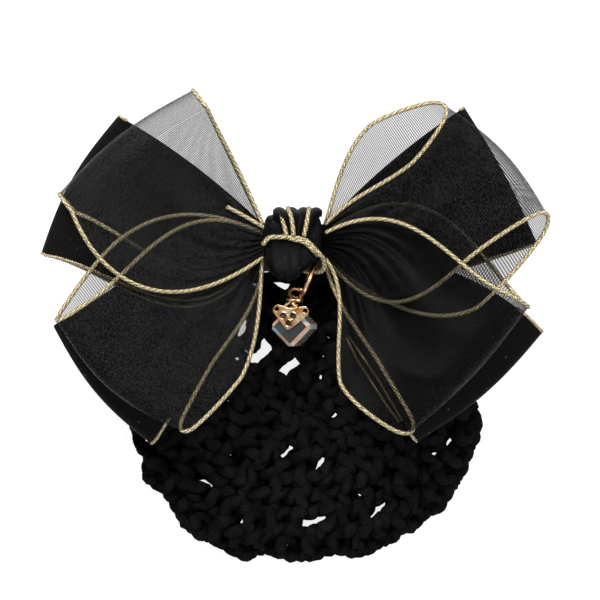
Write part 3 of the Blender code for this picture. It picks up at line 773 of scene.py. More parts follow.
def store(tree, geometry, name, value):
    """Keeps a number on every point under a name."""
    node = add_node(tree, "GeometryNodeStoreNamedAttribute", {"data_type": "FLOAT", "domain": "POINT"},
                    Geometry=geometry, Name=name)
    feed(tree, next(s for s in node.inputs if s.name == "Value" and s.enabled), value)
    return node.outputs["Geometry"]


def read_back(tree, kind, name):
    """What every point was given under a name."""
    node = add_node(tree, "GeometryNodeInputNamedAttribute", {"data_type": kind}, Name=name)
    return next(s for s in node.outputs if s.name == "Attribute" and s.enabled)


def even_curve(tree, given):
    """The paths given to a tree as curves with evenly spaced points."""
    path = add_node(tree, "GeometryNodeMeshToCurve", Mesh=given["Geometry"])
    return add_node(tree, "GeometryNodeResampleCurve", {"mode": "LENGTH"}, Curve=path.outputs["Curve"],
                    Length=given["Point spacing"]).outputs["Curve"]


def marked_ring(tree, radius, sides):
    """A ring whose points know how far round it they are."""
    ring = add_node(tree, "GeometryNodeCurvePrimitiveCircle", {"mode": "RADIUS"}, Resolution=sides,
                    Radius=radius)
    around = add_node(tree, "GeometryNodeSplineParameter")
    return store(tree, ring.outputs["Curve"], "around", around.outputs["Factor"])


def joined_parts(tree, meshes):
    joined = tree.nodes.new("GeometryNodeJoinGeometry")
    for mesh in meshes:
        tree.links.new(mesh, joined.inputs["Geometry"])
    return joined.outputs["Geometry"]


def finish_tree(tree, result, meshes, material):
    """Joins what a tree made, smooths and realizes it, and sets its material."""
    smooth = add_node(tree, "GeometryNodeSetShadeSmooth", Geometry=joined_parts(tree, meshes))
    real = add_node(tree, "GeometryNodeRealizeInstances", Geometry=smooth.outputs["Geometry"])
    coated = add_node(tree, "GeometryNodeSetMaterial", Geometry=real.outputs["Geometry"], Material=material)
    feed(tree, result["Geometry"], coated.outputs["Geometry"])


# %% The twisted cord tree
STRAND_TONES = (1.0, 0.89, 0.72)
STRAND_SIDES = 5
# Winding radius, strand radius, turn length and point spacing
EDGE_CORD = (0.29 * MM, 0.31 * MM, 2.1 * MM, 0.3 * MM)
twist, given, result = new_tree(
    "twisted cord", "GeometryNodeTree", ["Geometry"], Geometry="Geometry", Winding_radius=EDGE_CORD[0],
    Strand_radius=EDGE_CORD[1], Turn_length=EDGE_CORD[2], Point_spacing=EDGE_CORD[3], Tone_share=1.0,
    Thread="Material")
run = add_node(twist, "GeometryNodeSplineParameter").outputs["Length"]
marked = store(twist, even_curve(twist, given), "along", run)
tangent = twist.nodes.new("GeometryNodeInputTangent").outputs["Tangent"]
normal = twist.nodes.new("GeometryNodeInputNormal").outputs["Normal"]
sideways = do_vector(twist, "CROSS_PRODUCT", tangent, normal)
turns = do_math(twist, "DIVIDE", run, given["Turn length"])
strands = []
for k, tone in enumerate(STRAND_TONES):
    angle = scaled(twist, turns, 2 * pi, 2 * pi * k / len(STRAND_TONES))
    out = do_vector(twist, "ADD", do_vector(twist, "SCALE", normal, Scale=do_math(twist, "COSINE", angle)),
                    do_vector(twist, "SCALE", sideways, Scale=do_math(twist, "SINE", angle)))
    moved = add_node(twist, "GeometryNodeSetPosition", Geometry=marked,
                     Offset=do_vector(twist, "SCALE", out, Scale=given["Winding radius"]))
    toned = store(twist, moved.outputs["Geometry"], "tone", times(twist, given["Tone share"], tone))
    strand = add_node(twist, "GeometryNodeCurveToMesh", Curve=toned, Fill_Caps=True,
                      Profile_Curve=marked_ring(twist, given["Strand radius"], STRAND_SIDES))
    strands.append(strand.outputs["Mesh"])
finish_tree(twist, result, strands, given["Thread"])
print("twisted cord", len(twist.nodes), "nodes")


def gold_cord(name, paths, sizes, share=1.0, tone=1.0):
    """A piece of twisted cord along paths, of the given sizes or a share of their first three."""
    winding, strand, turn = (size * share for size in sizes[:3])
    mesh = grown_mesh(name, path_object(name, paths), twist, Winding_radius=winding, Strand_radius=strand,
                      Turn_length=turn, Point_spacing=sizes[3], Tone_share=tone, Thread=gold_thread)
    print(name, len(mesh.polygons), "faces")
    return place_mesh(name, mesh, gold_thread)


# %% The edges of the loops
RIBBED_EDGE = 0.8
BEND_ROWS = 6
TUCK = [(-16.2, 11.3), (-13.6, 9.9), (-11.0, 8.5), (-8.6, 7.1), (-6.6, 5.9)]
TUCK_LOOP = "organza_loop_upper_left"
TUCK_LIFT = 0.7
SEAM = [(13.9, -21.2, 0.3), (17.0, -26.6, 0.7), (20.8, -32.4, 0.75), (24.1, -37.8, 0.6), (26.8, -41.9, 0.35)]
SEAM_LOOP = "organza_loop_lower_right"
SEAM_LIFT = -0.45
SEAM_SIZE = 0.58
# Share of the gold's tone kept on the doubled edge: painted shade under the front layer.
SEAM_SHADED_TONE = 0.05


def on_layer(loop, x, y, lift):
    """The point of a loop's front layer nearest to a place seen from above, raised by a lift."""
    place = Vector((x, y)) * MM
    rows = ribbon_rows_of[loop]
    front = [point for row in rows[1:len(rows) // 2 - BEND_ROWS] for point in row]
    nearest = min(front, key=lambda point: (point.xy - place).length)
    return Vector((*place, nearest.z + lift * MM))


# The upper left loop has a small tuck beside the knot, and its gold edge shows as a short line. In
# the lower right loop a fine doubled edge is sewn under the front layer and shows dimly through it;
# its gold is painted almost black, as painted shade under the layer.
ribbon_paths[TUCK_LOOP].append([on_layer(TUCK_LOOP, x, y, TUCK_LIFT) for x, y in TUCK])
seams = [[on_layer(SEAM_LOOP, x + side * half, y + side * half / 2, SEAM_LIFT) for x, y, half in SEAM]
         for side in (-1, 1)]
gold_cord(SEAM_LOOP + "_doubled_edge", seams, EDGE_CORD, SEAM_SIZE, SEAM_SHADED_TONE)
for loop in LOOPS:
    edges = gold_cord(loop["name"] + "_gold_edges", ribbon_paths[loop["name"]], EDGE_CORD,
                      1.0 if loop["organza"] else RIBBED_EDGE)
    sheet, length = ribbon_sheets[loop["name"]]

# %% [markdown]
# ## The knot
# The same organza wraps the waist of the bow, rolled so tightly that it is opaque. It swells towards
# the lower left, where its folds are packed, and its loose end fans out in pleats at the top. Three
# corded edges run down the pleats and meet the cord that crosses the knot.

# %% Shape of the wrap
KNOT_FRONT_SWELL = 0.0024
KNOT_LEAN = radians(-30)
KNOT_DROOP = 0.0075
KNOT_BELLY = (0.60, -0.25)
KNOT_CUT = (0.9, 0.68)
KNOT_SUPER_POWER = 0.4
CREASES = 5
CREASE_BEND = 1.5
CREASE_DEPTH = 0.00022
KNOT_THIN = 0.75
KNOT_FACE = radians(89)
HALVINGS = 40
DROOP_REACH = 0.5


def waist_point(angle, swell):
    """A point in the plane across the waist, at an angle from the front towards the bow's top."""
    half_y = GATHER_HALF + GAP + swell
    half_z = WAIST_HEIGHT / 2 + swell
    middle_z = (WAIST_FLOOR + WAIST_TOP) / 2
    s, c = sin(angle), cos(angle)
    y = GATHER_RISE + half_y * (abs(s) ** KNOT_SUPER_POWER) * (1 if s >= 0 else -1)
    z = middle_z + half_z * (abs(c) ** KNOT_SUPER_POWER) * (1 if c >= 0 else -1)
    return y, z


def dome_at(across):
    return sqrt(max(0.0, 1 - across * across))


def knot_swell(angle, across):
    """How thick the knot is at an angle round the waist and a share across its width."""
    front = max(0.0, cos(angle - KNOT_LEAN)) ** 2
    dome = dome_at(across)
    belly = max(0.0, min(KNOT_BELLY[0] + KNOT_BELLY[1] * across, KNOT_CUT[0] * (KNOT_CUT[1] - across)))
    droop = KNOT_DROOP * max(0.0, -sin(angle)) ** 2 * belly * max(0.0, cos(angle) + DROOP_REACH)
    return KNOT_WALL * (KNOT_THIN + (1 - KNOT_THIN) * dome) + (KNOT_FRONT_SWELL * front + droop) * dome


def creased(angle, across):
    """The swell with the soft creases of rolled cloth."""
    crease = CREASE_DEPTH * sin(CREASES * pi * across + CREASE_BEND * sin(angle)) * dome_at(across)
    return knot_swell(angle, across) + crease


def knot_skin(x, y):
    """The height of the knot's front above a point."""
    across = (x - KNOT_SHIFT) / KNOT_HALF_WIDTH
    low, high = -KNOT_FACE, KNOT_FACE
    for _ in range(HALVINGS):
        angle = (low + high) / 2
        found, height = waist_point(angle, knot_swell(angle, across))
        if found < y:
            low = angle
        else:
            high = angle
    return height


def grid_mesh(name, rows, width, capped=False):
    """A mesh of closed rows of points joined with quads, with a UV map in metres of cloth."""
    shape = bmesh.new()
    cloth = shape.loops.layers.uv.new("cloth")
    made = [[shape.verts.new(point) for point in row] for row in rows]
    length = sum((b[0] - a[0]).length for a, b in zip(rows, rows[1:]))
    for r in range(len(rows) - 1):
        count = len(rows[r])
        for k in range(count):
            n = (k + 1) % count
            face = shape.faces.new((made[r][k], made[r][n], made[r + 1][n], made[r + 1][k]))
            face.smooth = True
            places = ((r, k), (r, k + 1), (r + 1, k + 1), (r + 1, k))
            for corner, (row, part) in zip(face.loops, places):
                corner[cloth].uv = (width * part / count, length * row / (len(rows) - 1))
    if capped:
        shape.faces.new(made[0])
        shape.faces.new(made[-1])
    return finished_mesh(name, shape)


print("the knot's front stands", round(knot_skin(KNOT_SHIFT, GATHER_RISE) / MM, 1), "mm up")

# %% The wrap
KNOT_TURNS = 96
KNOT_PARTS = 40
KNOT_PINCH = 0.15
KNOT_SLIM = 0.08
KNOT_CLOTH = 0.045
knot_angles = round_angles(KNOT_TURNS)


def knot_point(angle, across, swell):
    """A point of the wrap, narrower over its upper and lower sides and towards the right."""
    narrow = 1 - KNOT_PINCH * sin(angle) ** 2 - KNOT_SLIM * max(0.0, across)
    return Vector((KNOT_SHIFT + across * KNOT_HALF_WIDTH * narrow, *waist_point(angle, swell)))


hollow = [[knot_point(angle, across, 0.0) for angle in knot_angles] for across in (-1.0, 1.0)]
rows = [hollow[0]]
for k in range(KNOT_PARTS + 1):
    across = -cos(pi * k / KNOT_PARTS)
    rows.append([knot_point(angle, across, creased(angle, across)) for angle in knot_angles])
rows += [hollow[1], hollow[0]]
mesh = grid_mesh("knot_wrap", rows, KNOT_CLOTH)
packed_organza, tree, shader = new_finish("packed_organza", (0.012, 0.012, 0.013), 0.5,
                                          Specular_IOR_Level=0.06)
woven = woven_cloth(tree, 0.55, 0.42)
varied = vary(tree, 2.5, 0.6, 0.1)
dark = between(tree, varied["Patches"], (0.0003, 0.0003, 0.00035), (0.0024, 0.0024, 0.0026))
# Rare specks are painted glints of single threads.
drive(tree, shader, Base_Color=between(tree, varied["Specks"], dark, (0.018, 0.018, 0.019)),
      Roughness=between(tree, varied["Grain"], 0.38, 0.6))
raise_bump(tree, shader, woven["Height"], *ORGANZA_BUMP)
wrap = place_mesh("knot_wrap", mesh, packed_organza)
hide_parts("knot")
print("knot wrap", len(mesh.polygons), "faces")

# %% [markdown]
# ### Pleats and their cords
# The loose end of the wrap leaves the cord over the knot as a narrow bundle and fans out over the
# top. Its height follows the knot, so it lies on it, and each pleat is a smooth ridge.

# %% Pleats
STRIP_WALL = 0.0010
STRIP_HALF_WIDTH = (0.0030, 0.0062)
STRIP_SHIFT = (0.0008, 0.0014)
STRIP_RIDGES = 4
STRIP_CREST = 0.0008
STRIP_ROUNDNESS = 0.7
STRIP_FLAT = 0.4
STRIP_CLOTH = 0.02
NEAR_SIDE = 0.999
STRIP_START = 0.06
STRIP_EDGE = 0.97
STRIP_FRONT = 0.6
STRIP_END = radians(128)
STRIP_PARTS = 56
STRIP_STATIONS = 36


def strip_place(share, t):
    """A point on the fan of pleats: share runs from the cord over the top, t across the fan."""
    turning = asin(STRIP_EDGE ** (1 / KNOT_SUPER_POWER))
    if share < STRIP_FRONT:
        rise = STRIP_START + (STRIP_EDGE - STRIP_START) * share / STRIP_FRONT
        angle = asin(rise ** (1 / KNOT_SUPER_POWER))
    else:
        angle = turning + (STRIP_END - turning) * (share - STRIP_FRONT) / (1 - STRIP_FRONT)
    fan = min(1.0, share / STRIP_FRONT)
    half = STRIP_HALF_WIDTH[0] + (STRIP_HALF_WIDTH[1] - STRIP_HALF_WIDTH[0]) * fan
    x = STRIP_SHIFT[0] + (STRIP_SHIFT[1] - STRIP_SHIFT[0]) * fan + half * (2 * t - 1)
    across = max(-NEAR_SIDE, min(NEAR_SIDE, (x - KNOT_SHIFT) / KNOT_HALF_WIDTH))
    return x, angle, knot_swell(angle, across)


rows = []
for s in range(STRIP_STATIONS + 1):
    high, low = [], []
    full = STRIP_FLAT + (1 - STRIP_FLAT) * min(1.0, 3 * s / STRIP_STATIONS)
    for k in range(STRIP_PARTS + 1):
        t = k / STRIP_PARTS
        x, angle, swell = strip_place(s / STRIP_STATIONS, t)
        crest = STRIP_CREST * abs(sin(STRIP_RIDGES * pi * t)) ** STRIP_ROUNDNESS * full
        high.append(Vector((x, *waist_point(angle, swell + 2 * GAP + STRIP_WALL / 2 + crest))))
        low.append(Vector((x, *waist_point(angle, swell + GAP))))
    rows.append(high + low[::-1])
mesh = grid_mesh("knot_pleats_cloth", rows, STRIP_CLOTH, capped=True)
pleats = place_mesh("knot_pleats_cloth", mesh, packed_organza)
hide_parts("knot_pleats")
print("pleats", len(mesh.polygons), "faces")

# %% Cords down the pleats
PLEAT_CORDS = [
    # across the fan at the knot's cord, and at its top, and the share of the cord that stands clear
    (0.144, 0.10, 0.35),
    (0.43, 0.31, 1.0),
    (0.865, 0.73, 1.0),
]
CORD_LIFT = 0.0012
CORD_CLEAR = 0.0007
CORD_SINK = 0.6
PLEAT_CORD = (0.32 * MM, 0.34 * MM, 2.2 * MM, 0.25 * MM)
paths = []
for near_cord, near_top, clear in PLEAT_CORDS:
    path = []
    for s in range(STRIP_STATIONS + 1):
        fan = min(1.0, s / STRIP_STATIONS / STRIP_FRONT)
        x, angle, swell = strip_place(s / STRIP_STATIONS, near_cord + (near_top - near_cord) * fan)
        above = CORD_LIFT + CORD_CLEAR * clear * (1 - CORD_SINK * fan)
        path.append(Vector((x, *waist_point(angle, swell + above))))
    paths.append(path)
gold_cord("pleat_cords", paths, PLEAT_CORD)

# %% [markdown]
# ### The cord over the knot
# The wrap's corded edge crosses the knot from the left, doubles on the right, and ends in a small
# hook below it that the charm's ring hangs from. Both cords lie square on the knot's skin.

# %% Cords over the knot
CORD_RADIUS = 0.0006
RING_RADIUS = 0.0043
RING_WIRE = 0.0006
RING_LEAN = radians(67)
RING_TILT = 0.05
RING_RISE = 0.35
RING_SHIFT = Vector((0.0008, 0.0012, 0.0014))
UPPER_CORD = [(-0.93, -0.37), (-0.78, 0.0), (-0.46, 0.04), (-0.10, 0.02), (0.33, -0.10), (0.53, -0.37),
              (0.70, -0.69), (0.84, -0.95)]
LOWER_CORD = [(-0.16, -0.02), (0.02, -0.10), (0.20, -0.17), (0.35, -0.28), (0.50, -0.50), (0.64, -0.74),
              (0.75, -0.92)]
UPPER_LIFT = 0.9
LOWER_LIFT = 0.8
LOWER_SINK = ((-2, 0.4), (-1, 1.2))
HOOK_ROUTE = [(3.9, 1.8, 0.80), (4.1, -0.6, 0.55), (3.2, -2.2, 0.25), (1.6, -2.7, 0.05)]
HOOK_LEVEL = 0.3
BAIL_SHIFT = Vector((-0.0012, 0.0004, 0))
ROUTE_STEPS = 8
KNOT_CORD = (0.32 * MM, 0.35 * MM, 2.2 * MM, 0.25 * MM)


def smooth_route(points):
    """A Catmull-Rom curve through the points."""
    padded = [points[0]] + points + [points[-1]]
    route = []
    for a, b, c, d in zip(padded, padded[1:], padded[2:], padded[3:]):
        for k in range(ROUTE_STEPS):
            u = k / ROUTE_STEPS
            route.append(0.5 * (2 * b + (c - a) * u + (2 * a - 5 * b + 4 * c - d) * u * u
                                + (3 * b - a - 3 * c + d) * u ** 3))
    return route + [points[-1]]


def above_knot(x, y, lift):
    """A point at a distance from the knot's front, measured square to it."""
    step = CORD_RADIUS
    slope_x = (knot_skin(x + step, y) - knot_skin(x - step, y)) / (2 * step)
    slope_y = (knot_skin(x, y + step) - knot_skin(x, y - step)) / (2 * step)
    return Vector((x, y, knot_skin(x, y))) + Vector((-slope_x, -slope_y, 1)).normalized() * lift


def over_knot(route, lift):
    return [above_knot(KNOT_SHIFT + across * KNOT_HALF_WIDTH, GATHER_RISE + up * GATHER_HALF, lift)
            for across, up in route]


def middle_of(node):
    low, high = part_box(node)
    return (Vector(low) + Vector(high)) / 2


ring_centre = middle_of("jump_ring") + RING_SHIFT
ring_along = Vector((cos(RING_LEAN), sin(RING_LEAN), RING_RISE)).normalized()
ring_top = ring_centre + ring_along * RING_RADIUS
bail_centre = ring_centre - ring_along * (RING_RADIUS + RING_WIRE) + BAIL_SHIFT
upper = over_knot(UPPER_CORD, 2 * GAP + CORD_RADIUS * UPPER_LIFT)
level = ring_top.z + HOOK_LEVEL * CORD_RADIUS
drop = upper[-1].z - level
for across, up, share in HOOK_ROUTE:
    upper.append(Vector((ring_top.x + across * CORD_RADIUS, ring_top.y + up * CORD_RADIUS,
                         level + share * drop)))
through = ring_top - ring_along * (CORD_RADIUS + RING_WIRE + 2 * GAP)
for left, up, y in ((0.0, 0.0, through.y), (2.6, 0.2, through.y), (4.0, 0.5, ring_top.y)):
    upper.append(Vector((through.x - left * CORD_RADIUS, y + up * CORD_RADIUS, level)))
lower = over_knot(LOWER_CORD, 2 * GAP + CORD_RADIUS * LOWER_LIFT)
for k, sunk in LOWER_SINK:
    lower[k].z -= sunk * MM
knot_cords = gold_cord("knot_cords", [smooth_route(upper), smooth_route(lower)], KNOT_CORD)
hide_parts("knot_cord")

# %% [markdown]
# ## The charm
# A ring of wire stands on edge between the hook and the charm. The charm is a cut crystal cube that
# hangs by one corner from a pierced cap of rose gold, with a collar and a round bail on top. It
# hangs a little turned, so one side of the cube shows. The flat, pierced flaps are easiest to make
# as flat curves: an outline with round holes, filled, given thickness and a small bevel.

# %% Rings of wire
def looped_mesh(name, rows):
    """A mesh of closed rows of points whose last row joins the first."""
    shape = bmesh.new()
    made = [[shape.verts.new(point) for point in row] for row in rows]
    for row, following in zip(made, made[1:] + made[:1]):
        for k in range(len(row)):
            n = (k + 1) % len(row)
            shape.faces.new((row[k], row[n], following[n], following[k])).smooth = True
    return finished_mesh(name, shape)


def torus_mesh(name, centre, along, across, radius, wire, turns=72, sides=14):
    """A ring of round wire whose plane holds two directions."""
    normal = along.cross(across).normalized()
    tube = [(radius + wire * cos(angle), normal * wire * sin(angle)) for angle in round_angles(sides)]
    outs = [cos(angle) * along + sin(angle) * across for angle in round_angles(turns)]
    return looped_mesh(name, [[centre + out * reach + rise for reach, rise in tube] for out in outs])


def lathe_mesh(name, profile, turns=48):
    """A closed ring turned round the Y axis from a closed profile of radius and height."""
    return looped_mesh(name, [[(r * cos(angle), h, r * sin(angle)) for r, h in profile]
                              for angle in round_angles(turns)])


sideways = Vector((ring_along.y, -ring_along.x, 0)).normalized()
ring_across = (ring_along.cross(sideways) * -1 + RING_TILT * sideways).normalized()
mesh = torus_mesh("gold_ring", ring_centre, ring_along, ring_across, RING_RADIUS, RING_WIRE)
ring = place_mesh("gold_ring", mesh, rose_gold)
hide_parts("jump_ring")
print("gold ring", len(mesh.polygons), "faces")

# %% Pierced flaps, collar and bail
CUBE_SIDE = 0.0079
CUBE_CHAMFER = 0.0009
CHARM_TURN = radians(-17)
CHARM_LIFT = 0.0006
FLAP_WALL = 0.0006
FLAP_BEVEL = 0.00012
BEVEL_STEPS = 2
CORNER_CUT = 0.5
CORNER_SHARE = 0.35
HOLE_SIDES = 24
MERGE_DISTANCE = 0.002 * MM
SHARP_ANGLE = radians(35)
CHARM_RAISE = 0.0018
cube_centre = middle_of("charm_crystal") + Vector((0, CHARM_RAISE, CHARM_LIFT))
half = CUBE_SIDE / 2 + GAP
peak = sqrt(2) * half

FRONT_FLAP = [(-4.6, 4.1), (-3.3, 5.8), (0.2, 4.5), (4.7, 5.2), (5.4, 3.3), (-0.4, -1.1)]
FRONT_HOLES = [
    # across, up, radius, in millimetres from the middle of the crystal
    (-1.45, 2.75, 0.85),
    (1.1, 2.7, 0.85),
    (-0.1, 0.85, 0.8),
    (-3.25, 4.45, 0.55),
    (4.2, 3.95, 0.55),
]
SIDE_FLAP = [(0.1, 0.0), (5.3, 0.0), (4.5, 1.7), (2.7, 2.8), (0.1, 3.2)]
SIDE_HOLES = [(1.4, 1.35, 0.42), (2.9, 1.15, 0.42), (4.2, 0.75, 0.28)]
RIM_WIRE = 0.00013
RIMMED_HOLES = 3
COLLAR_PROFILE = [(0.9, 0.0), (1.9, 0.0), (2.15, 0.25), (2.2, 0.6), (2.1, 0.95), (1.8, 1.2), (0.9, 1.2)]
BAIL_RAISE = 0.7 * MM
BAIL_RADIUS = 0.00165
BAIL_WIRE = 0.00056
BAIL_TIP = radians(48)


def pierced_plate(name, outline, holes, place):
    """A flat plate with round holes and bevelled rims, placed by a matrix."""
    flat = bpy.data.curves.new(name, "CURVE")
    flat.dimensions = "2D"
    flat.fill_mode = "BOTH"
    flat.extrude = FLAP_WALL / 2 - FLAP_BEVEL
    flat.bevel_depth = FLAP_BEVEL
    flat.bevel_resolution = BEVEL_STEPS
    flat.offset = -FLAP_BEVEL
    rounded = []
    corners = [Vector(corner) for corner in outline]
    for before, here, after in zip(corners[-1:] + corners, corners, corners[1:] + corners):
        for other in (before, after):
            cut = min(CORNER_SHARE, CORNER_CUT / (other - here).length)
            rounded.append(here.lerp(other, cut) * MM)
    loops = [rounded]
    for x, y, radius in holes:
        loops.append([Vector((x + radius * cos(angle), y + radius * sin(angle))) * MM
                      for angle in round_angles(HOLE_SIDES)])
    for points in loops:
        spline = flat.splines.new("POLY")
        spline.points.add(len(points) - 1)
        for item, p in zip(spline.points, points):
            item.co = (p.x, p.y, 0, 1)
        spline.use_cyclic_u = True
    mesh = mesh_of(put(name, flat))
    mesh.transform(place)
    return mesh


def joined_mesh(name, meshes):
    """One mesh from several, with doubles merged inside each and faces pointing out."""
    shape = bmesh.new()
    for mesh in meshes:
        shape.from_mesh(mesh)
        bpy.data.meshes.remove(mesh)
    bmesh.ops.remove_doubles(shape, verts=shape.verts, dist=MERGE_DISTANCE)
    whole = finished_mesh(name, shape)
    whole.shade_smooth()
    whole.set_sharp_from_angle(angle=SHARP_ANGLE)
    return whole


turned = Matrix.Rotation(CHARM_TURN, 4, "Y")
charm_place = Matrix.Translation(cube_centre) @ turned
front_place = charm_place @ Matrix.Translation((0, 0, half + FLAP_WALL / 2))
sidewards = turned @ Vector((1, 0, 0))
parts = [pierced_plate("front_flap", FRONT_FLAP, FRONT_HOLES, front_place)]
for x, y, radius in FRONT_HOLES[:RIMMED_HOLES]:
    middle = front_place @ Vector((x * MM, y * MM, FLAP_WALL / 2))
    parts.append(torus_mesh("hole_rim", middle, sidewards, Vector((0, 1, 0)), radius * MM + RIM_WIRE / 2,
                            RIM_WIRE, 32, 8))
for side in (-1, 1):
    down = Vector((side, -1, 0)).normalized()
    outwards = Vector((side, 1, 0)).normalized()
    back = Vector((0, 0, -1))
    axes = Matrix((down, back, down.cross(back))).transposed().to_4x4()
    corner = Matrix.Translation(Vector((0, peak, half)) + outwards * (FLAP_WALL / 2))
    parts.append(pierced_plate("side_flap", SIDE_FLAP, SIDE_HOLES, charm_place @ corner @ axes))
collar = lathe_mesh("collar", [(r * MM, h * MM) for r, h in COLLAR_PROFILE])
collar.transform(Matrix.Translation((cube_centre.x, cube_centre.y + peak, cube_centre.z)) @ turned)
parts.append(collar)
bail_centre = Vector((bail_centre.x, bail_centre.y + BAIL_RAISE, cube_centre.z))
bail_up = Vector((0, cos(BAIL_TIP), sin(BAIL_TIP)))
parts.append(torus_mesh("bail", bail_centre, sidewards, bail_up, BAIL_RADIUS, BAIL_WIRE))
cap = place_mesh("gold_cap", joined_mesh("gold_cap", parts), rose_gold)
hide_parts("charm_cap")
print("gold cap", len(cap.data.polygons), "faces")

# %% Crystal
# How far each face counts as a cut edge: the front and back not at all, the sides a little
FACE_CUT = (0.0, 0.3, 1.0)
FACING_UP = 0.8
FACET_SHARE = 0.5
shape = bmesh.new()
bmesh.ops.create_cube(shape, size=CUBE_SIDE)
bmesh.ops.bevel(shape, geom=shape.edges[:], offset=CUBE_CHAMFER, segments=1, affect="EDGES", profile=0.5)
bmesh.ops.transform(shape, matrix=charm_place @ Matrix.Rotation(radians(45), 4, "Z"), verts=shape.verts)
mesh = finished_mesh("cut_crystal", shape)
cut = mesh.attributes.new("cut", "FLOAT", "FACE")
largest = max(face.area for face in mesh.polygons)
for item, face in zip(cut.data, mesh.polygons):
    facet = FACE_CUT[0] if abs(face.normal.z) > FACING_UP else FACE_CUT[1]
    item.value = facet if face.area > FACET_SHARE * largest else FACE_CUT[2]
crystal = place_mesh("cut_crystal", mesh, crystal_glass)
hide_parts("charm_crystal")
print("crystal", len(mesh.polygons), "faces")

# %% [markdown]
# ## The crocheted bag
# The bag is worked in rounds from thick knitted cord. Each round is a chain, whose two sides wind
# round each other, and long stitches zigzag from it to the next round. Both repeat one figure along
# the round, so Geometry Nodes draw them: a path runs round the bag, and the cords leave it sideways,
# along it and out of it, each by its own wave. The rounds run over the front, round the rim, and
# along the back to the mouth, as the frame's bag does. Two layers leave few gaps to see through.
# The tree gives bare paths first, so that they can be parted where there is a gap, and a second
# tree turns them into round cord.

# %% Sizes of the bag
NET_LOW, NET_HIGH = (Vector(corner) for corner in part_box("net_bag"))
CLIP_WIDTH = 0.0094
NET_THICKNESS = 0.0118
NET_HALF_WIDTH = 0.0450
NET_HALF_DROP = 0.0368
NET_SHIFT = 0.0028
MOUTH_HALF_WIDTH = 0.0270
MOUTH_HALF_DROP = 0.0120
MOUTH_MARGIN = 0.0080
NET_MIDDLE = Vector((NET_SHIFT, -CLIP_WIDTH / 2 - 1.67 * GAP - NET_HALF_DROP * 1.01))
MOUTH_MIDDLE = Vector((NET_SHIFT, -CLIP_WIDTH / 2 - MOUTH_MARGIN - MOUTH_HALF_DROP))
NET_REACH = [1.01, 0.98, 0.96, 1.0, 0.97, 0.97, 1.01, 0.98, 1.06, 0.99, 1.03, 1.03]
YARN_RADIUS = 0.0017
CHAIN_WIDTH = 0.00115
CHAIN_LENGTH = 0.0070
LINK_LENGTH = 0.0062
LINK_REACH = 0.0058
LINK_CURL = 0.0011
UNEVENNESS = 0.0016
TAPE_THICKNESS = 0.5
TAPE_TURN = radians(75)
ROUND_POINTS = 120
UNEVEN_ROOM = 0.25
RIM_SLOPE = 0.2

# Height of the bag's skin on the way in from the rim, as shares of its thickness
FRONT_SKIN = [(0.0, 0.48), (0.05, 0.70), (0.22, 0.86), (0.50, 0.97), (0.80, 1.0), (1.0, 1.0)]
print("bag", round((NET_HIGH.x - NET_LOW.x) / MM), "mm wide")


# %% Rounds of the bag
def net_reach(angle):
    """The outline's share of the half width and half drop at an angle."""
    place = (angle / (pi / 6)) % 12
    first = int(place)
    share = (1 - cos(pi * (place - first))) / 2
    return NET_REACH[first % 12] * (1 - share) + NET_REACH[(first + 1) % 12] * share


def skin_height(inward):
    """The height of the front skin at a share of the way in from the rim."""
    for (near, low), (far, high) in zip(FRONT_SKIN, FRONT_SKIN[1:]):
        if inward <= far:
            return (low + (high - low) * (inward - near) / (far - near)) * NET_THICKNESS
    return NET_THICKNESS


def round_points(inward, front):
    """Points round the bag at a share of the way in from the rim, with the way out of it at each."""
    points, outs = [], []
    shrink = CHAIN_WIDTH + YARN_RADIUS
    inset = shrink + UNEVEN_ROOM * UNEVENNESS
    for angle in round_angles(ROUND_POINTS):
        reach = net_reach(angle)
        rim = NET_MIDDLE + Vector((cos(angle) * (NET_HALF_WIDTH * reach - shrink),
                                   sin(angle) * (NET_HALF_DROP * reach - shrink)))
        target = NET_MIDDLE if front else MOUTH_MIDDLE + Vector((cos(angle) * MOUTH_HALF_WIDTH,
                                                                 sin(angle) * MOUTH_HALF_DROP))
        flat = rim.lerp(target, inward)
        height = skin_height(inward) - inset if front else inset
        slope = max(0.0, 1 - inward / RIM_SLOPE)
        away = Vector((cos(angle), sin(angle))) * slope
        points.append(Vector((flat.x, flat.y, height)))
        outs.append(Vector((away.x, away.y, 1 if front else -1)).normalized())
    return points, outs


FRONT_ROUNDS = [0.0, 0.145, 0.29, 0.435, 0.58, 0.725, 0.87]
BACK_ROUNDS = [0.10, 0.37, 0.64, 0.91]
front_rounds = [round_points(share, True) for share in FRONT_ROUNDS]
back_rounds = [round_points(share, False) for share in BACK_ROUNDS]
print(len(front_rounds), "rounds in front,", len(back_rounds), "behind")

# %% The crochet round tree
STITCH_SPACING = 0.3 * MM
ROUND_LAG = 0.5
PATH_SPACING = 0.6 * MM
JITTER_SCALE = 170.0
JITTER_SHARE = 3.0
LINK_LIFT = 0.9
crochet, given, result = new_tree(
    "crochet round", "GeometryNodeTree", ["Geometry"], Geometry="Geometry", Chain_length=CHAIN_LENGTH,
    Chain_width=CHAIN_WIDTH, Link_length=LINK_LENGTH, Link_reach=LINK_REACH, Link_curl=LINK_CURL,
    Unevenness=UNEVENNESS, Point_spacing=STITCH_SPACING)
even = even_curve(crochet, given)
spline = crochet.nodes.new("GeometryNodeSplineLength")
run = crochet.nodes.new("GeometryNodeSplineParameter")
out_way = read_back(crochet, "FLOAT_VECTOR", "out")
start_turn = read_back(crochet, "FLOAT", "start")
tangent = crochet.nodes.new("GeometryNodeInputTangent").outputs["Tangent"]
sideways = do_vector(crochet, "CROSS_PRODUCT", tangent, out_way)
where = crochet.nodes.new("GeometryNodeInputPosition").outputs["Position"]
patchy = add_node(crochet, "ShaderNodeTexNoise", Vector=where, Scale=JITTER_SCALE, Detail=0.0)
